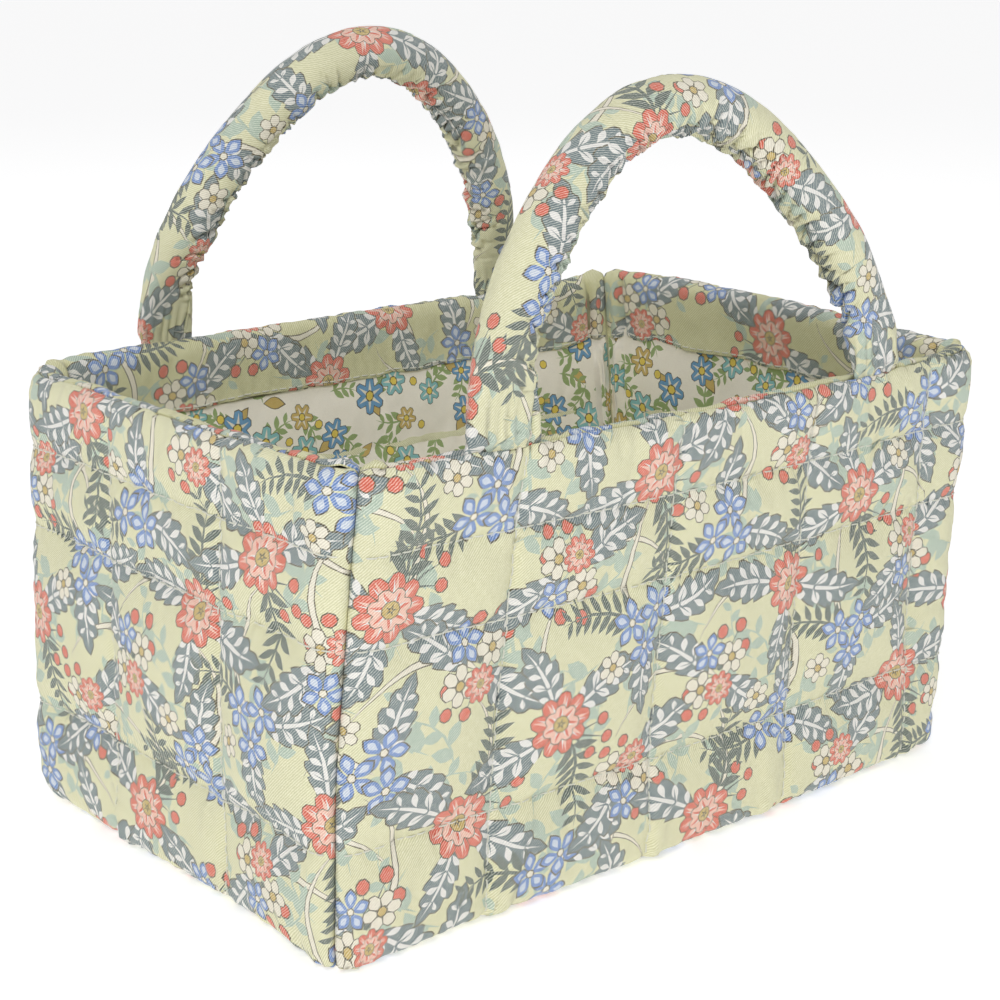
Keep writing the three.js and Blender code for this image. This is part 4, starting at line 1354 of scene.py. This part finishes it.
def build_lining(side):
    """One wall's lining, from the basket's floor to just under the facing's hem."""
    wall, _ = Workshop.wall(side)
    over_floor, behind_facing = 0.3, 4
    low, high = FLOOR_HEIGHT + over_floor, wall.facing_hem + behind_facing
    columns, _ = panel_steps(wall, wall.rows, OUTER_STEP)
    rows = edge_steps(spaced([low, high], OUTER_STEP), low, high)
    area, seed = (-wall.seam_at, wall.seam_at, low, high), 7 + SIDES.index(side)
    cut = cut_cloth(rectangle(*area), columns, rows, sprigged_print(*area, seed), "lining_ground")
    cotton = material_named("Lining cotton")
    piece = sew(f"{side}_inner_cloth", cut, lining_shape(side), wall.sizes.cloth, cotton)
    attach(piece, "basket")
    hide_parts(f"{side}_lining")
    return piece


def build_base():
    """The outer base and the lining's base."""
    wall, _ = Workshop.wall("front")
    size, beside_seam, print_shift, print_seed = wall.sizes, (-4.4, -5.4, -6.6, -8), (4, 9), 11
    seam_z = size.curl * (1 - np.sin(size.curl_seam))
    border = ring_round(-size.curl * (1 - np.cos(size.curl_seam)), seam_z)
    low, high = border.min(0), border.max(0)
    columns, rows = (np.arange(a, b, BASE_STEP) for a, b in zip(low, high))
    edge = [ring_round(offset, seam_z) for offset in beside_seam]
    motif = floral_print(low[0], high[0], low[1], high[1], print_shift)
    cut = cut_cloth(border, columns, rows, motif, "ground", np.concatenate(edge))
    outer = sew("base_panel", cut, base_shape, size.cloth, material_named("Printed twill"))
    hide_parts("base_outer_panel", "base_wadding")
    border = ring_round(-size.wall + 1, FLOOR_HEIGHT)
    low, high = border.min(0), border.max(0)
    motif = sprigged_print(low[0], high[0], low[1], high[1], print_seed)
    cut = cut_cloth(border, columns, rows, motif, "lining_ground")
    inner = sew("base_inner_cloth", cut, base_lining_shape, size.cloth, material_named("Lining cotton"))
    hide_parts("base_lining")
    for piece in (outer, inner):
        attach(piece, "basket")


def build_handle(side, shift):
    """One stuffed handle, built round its hinge, with its transform baked into the mesh."""
    wall, _ = Workshop.wall(side)
    handle = Handle(side, wall.sizes, wall)
    low, high = -handle.TAIL, handle.length + handle.TAIL
    along, ruched, plain, beside_seam = 1.3, 1.2, 2.2, 0.3
    columns = spaced([low, 0, handle.length, high], along)
    inner, girth = handle.girth * 0.22, handle.girth
    runs = [spaced([0, inner], ruched), spaced([inner, girth - inner], plain)]
    runs += [spaced([girth - inner, girth], ruched), [beside_seam, girth - beside_seam]]
    rows = np.unique(np.concatenate(runs))
    area = low, high, 0, girth
    cut = cut_cloth(rectangle(*area), columns, rows, floral_print(*area, shift), "ground")
    twill = material_named("Printed twill")
    piece = sew(f"{side}_handle_tube", cut, handle_shape(handle), wall.sizes.cloth, twill)
    up = np.array([0, np.sin(handle.lean), np.cos(handle.lean)])
    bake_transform(piece)
    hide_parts(f"{side}_handle_cover", f"{side}_handle_core")
    return piece


def stitch_row(shape, start, end, rng, pitch, length):
    """Centres and normals of the stitches along a straight flat line: (stitch, ring, xyz) arrays.

    Each stitch dives into the cloth at both ends and stands a little over it between them.
    """
    rings, heights = np.array([0, 0.18, 0.5, 0.82, 1]), [-0.3, 0.26, 0.38, 0.26, -0.3]
    uneven, off_line = 0.25, 0.12
    start, end = np.array(start, float), np.array(end, float)
    reach = np.linalg.norm(end - start)
    along = (end - start) / reach
    first = np.arange(pitch / 2, reach - length, pitch)
    first = first + rng.uniform(-uneven, uneven, len(first))
    places = first[:, None] + length * rings
    flat = (start + along * places[..., None]).reshape(-1, 2)
    flat = flat + np.repeat(rng.uniform(-off_line, off_line, (len(first), 2)), len(rings), axis=0)
    centres = shape(flat, -np.tile(heights, len(first))).reshape(-1, len(rings), 3)
    normals = surface_normals(shape, flat).reshape(-1, len(rings), 3)
    return centres, normals


def thread_bars(name, centres, normals, radius):
    """Closed five-sided bars through rings of centres, each with a flat cap at both ends."""
    count, rings, sides = len(centres), centres.shape[1], 5
    ahead = np.gradient(centres, axis=1)
    ahead /= np.linalg.norm(ahead, axis=2, keepdims=True)
    across = np.cross(ahead, normals)
    across /= np.linalg.norm(across, axis=2, keepdims=True)
    up = np.cross(across, ahead)
    angle = 2 * np.pi * np.arange(sides)[:, None] / sides
    reach = radius * (across[..., None, :] * np.cos(angle) + up[..., None, :] * np.sin(angle))
    points = (centres[..., None, :] + reach).reshape(-1, 3)
    here = np.arange(count * rings * sides).reshape(count, rings, sides)
    beside = np.roll(here, -1, axis=2)
    a, b, c, d = here[:, :-1], beside[:, :-1], beside[:, 1:], here[:, 1:]
    faces = [np.stack(corners, -1).reshape(-1, 3) for corners in ((a, b, c), (a, c, d))]
    fan = [[0, k, k + 1] for k in range(1, sides - 1)]
    faces += [here[:, 0][:, corners[::-1]] for corners in fan]
    faces += [here[:, -1][:, corners] for corners in fan]
    faces = np.concatenate(faces)
    p, q, r = points[faces[:, 0]], points[faces[:, 1]], points[faces[:, 2]]
    if np.einsum("ij,ij->", p - points.mean(0), np.cross(q - p, r - p)) < 0:
        faces = faces[:, ::-1]
    piece = make_mesh(name, points, faces)
    piece.data.materials.append(material_named("Sewing thread"))
    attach(piece, "basket")
    return piece


def build_stitches(side):
    """The thread of one wall: its quilting lines and the topstitching along the facing's hem."""
    wall, _ = Workshop.wall(side)
    rng = np.random.default_rng(30 + SIDES.index(side))
    from_seam, from_hem, thread_radius = 2, 1.6, 0.3
    quilting, topstitching = {"pitch": 3.9, "length": 3.35}, {"pitch": 4.1, "length": 3.1}
    edge, top = wall.seam_at - from_seam, wall.cloth_height - from_seam
    lines = [((-edge, row), (edge, row)) for row in wall.rows[1:-1]]
    lines += [((line, from_seam), (line, top)) for line in wall.breaks[1:-1]]
    shape = outer_shape(side)
    laid = [stitch_row(shape, start, end, rng, **quilting) for start, end in lines]
    hem = wall.facing_height - from_hem
    laid.append(stitch_row(facing_shape(side), (-edge, hem), (edge, hem), rng, **topstitching))
    centres, normals = (np.concatenate(each) for each in zip(*laid))
    return thread_bars(f"{side}_stitches", centres, normals, thread_radius)


# The studio


def lay_floor():
    """A wide pale floor that glows a little, as paper does in a bright studio."""
    half, glow = 40.0 / MM, 0.42
    corners = np.insert(rectangle(-half, half, -half, half), 2, 0, axis=1)
    floor = make_mesh("floor", corners, np.array([[0, 1, 2], [0, 2, 3]]))
    nodes = Nodes.material("Paper floor")
    grain = nodes.add("ShaderNodeTexNoise", Scale=3.0, Detail=3.0).outputs["Fac"]
    colour = nodes.ramp(grain, (0.90, 0.90, 0.90, 1), (0.93, 0.93, 0.93, 1))
    white = (1, 1, 1, 1)
    paper = nodes.finish(Base_Color=colour, Roughness=0.9, Emission_Color=white, Emission_Strength=glow)
    floor.data.materials.append(paper)


def studio_world():
    """White light from above, which dims to grey towards the level of the floor."""
    nodes = Nodes(bpy.data.worlds.new("Studio"), "Background")
    direction = nodes.add("ShaderNodeTexCoord").outputs["Generated"]
    height = nodes.add("ShaderNodeSeparateXYZ", i0=direction).outputs["Z"]
    colour = nodes.ramp(height, (0.34, 0.34, 0.35, 1), (1, 1, 1, 1))
    return nodes.finish(Color=colour, Strength=0.74)


def hang_light(scene, name, place, power, width):
    """A square light of a power in watts and a width in metres, turned to the basket's middle."""
    middle = Vector((0, 0, 0.1))
    light = bpy.data.lights.new(name, "AREA")
    light.energy = power
    light.size = width
    lamp = bpy.data.objects.new(name, light)
    lamp.location = place
    lamp.rotation_euler = (middle - Vector(place)).to_track_quat("-Z", "Y").to_euler()
    scene.collection.objects.link(lamp)


def set_camera(scene):
    """The photo's camera, set back from the place that it looks at by a turn, a rise and a distance."""
    turn, rise, distance = np.radians(-39.9), np.radians(15.59), 0.768
    looked_at = Vector((0.0018, 0.0054, 0.1038))
    camera = bpy.data.cameras.new("camera")
    camera.lens = 74.66
    camera.sensor_width = 36
    camera.clip_start = 0.05
    viewer = bpy.data.objects.new("camera", camera)
    back = Vector((np.sin(turn) * np.cos(rise), -np.cos(turn) * np.cos(rise), np.sin(rise)))
    viewer.location = looked_at + back * distance
    viewer.rotation_euler = (-back).to_track_quat("-Z", "Y").to_euler()
    scene.collection.objects.link(viewer)
    scene.camera = viewer


# The add-on


class BASKET_OT_outer_walls(bpy.types.Operator):
    """Make the four quilted outer walls in the floral print"""

    bl_idname = "basket.outer_walls"
    bl_label = "Outer walls"

    def execute(self, context):
        for side, shift in zip(SIDES, ((6, 12), (20, 30), (41, 5), (-9, 22))):
            build_outer(side, shift)
        return {"FINISHED"}


class BASKET_OT_facings(bpy.types.Operator):
    """Make the four facings inside the rim"""

    bl_idname = "basket.facings"
    bl_label = "Facings"

    def execute(self, context):
        for side, shift in zip(SIDES, ((15, 4), (2, 20), (9, 30), (30, 11))):
            build_facing(side, shift)
        return {"FINISHED"}


class BASKET_OT_linings(bpy.types.Operator):
    """Make the linings of the four walls"""

    bl_idname = "basket.linings"
    bl_label = "Linings"

    def execute(self, context):
        for side in SIDES:
            build_lining(side)
        return {"FINISHED"}


class BASKET_OT_base(bpy.types.Operator):
    """Make the outer base and the lining's base"""

    bl_idname = "basket.base"
    bl_label = "Base"

    def execute(self, context):
        build_base()
        return {"FINISHED"}


class BASKET_OT_handles(bpy.types.Operator):
    """Make the two stuffed, ruched handles"""

    bl_idname = "basket.handles"
    bl_label = "Handles"

    def execute(self, context):
        build_handle("front", (12, 30))
        build_handle("back", (33, 8))
        return {"FINISHED"}


class BASKET_OT_stitches(bpy.types.Operator):
    """Make the quilting and topstitching thread"""

    bl_idname = "basket.stitches"
    bl_label = "Stitches"

    def execute(self, context):
        for side in SIDES:
            build_stitches(side)
        return {"FINISHED"}


class BASKET_OT_stage(bpy.types.Operator):
    """Make the pale floor, the studio lights and the camera"""

    bl_idname = "basket.stage"
    bl_label = "Stage"

    def execute(self, context):
        lay_floor()
        scene = context.scene
        scene.world = studio_world()
        hang_light(scene, "key_light", place=(-1.1, -1.0, 1.15), power=9.0, width=0.45)
        hang_light(scene, "back_light", place=(0.9, 1.3, 1.5), power=2.5, width=1.0)
        set_camera(scene)
        scene.view_settings.view_transform = "Standard"
        return {"FINISHED"}


class BASKET_PT_sidebar(bpy.types.Panel):
    """Sizes, colours and the building steps of the basket"""

    bl_idname = "BASKET_PT_sidebar"
    bl_label = "Quilted basket"
    bl_space_type = "VIEW_3D"
    bl_region_type = "UI"
    bl_category = "Basket"

    def draw(self, context):
        for operator in OPERATORS:
            self.layout.operator(operator.bl_idname)
        for group in (context.scene.basket_sizes, context.scene.basket_colours):
            box = self.layout.box()
            for name in type(group).__annotations__:
                box.prop(group, name)


OPERATORS = (
    BASKET_OT_stage,
    BASKET_OT_outer_walls,
    BASKET_OT_facings,
    BASKET_OT_linings,
    BASKET_OT_base,
    BASKET_OT_handles,
    BASKET_OT_stitches,
)
CLASSES = (BasketSizes, BasketColours, *OPERATORS, BASKET_PT_sidebar)


def register():
    """Register the classes and hang both property groups on the scene."""
    for each in CLASSES:
        bpy.utils.register_class(each)
    bpy.types.Scene.basket_sizes = bpy.props.PointerProperty(type=BasketSizes)
    bpy.types.Scene.basket_colours = bpy.props.PointerProperty(type=BasketColours)


def unregister():
    """Undo register, in the other order."""
    del bpy.types.Scene.basket_colours
    del bpy.types.Scene.basket_sizes
    for each in reversed(CLASSES):
        bpy.utils.unregister_class(each)


def main():
    """Build everything."""
    register()
    bpy.ops.basket.stage()
    bpy.ops.basket.outer_walls()
    bpy.ops.basket.facings()
    bpy.ops.basket.linings()
    bpy.ops.basket.base()
    bpy.ops.basket.handles()
    bpy.ops.basket.stitches()


if __name__ == "__main__":
    main()
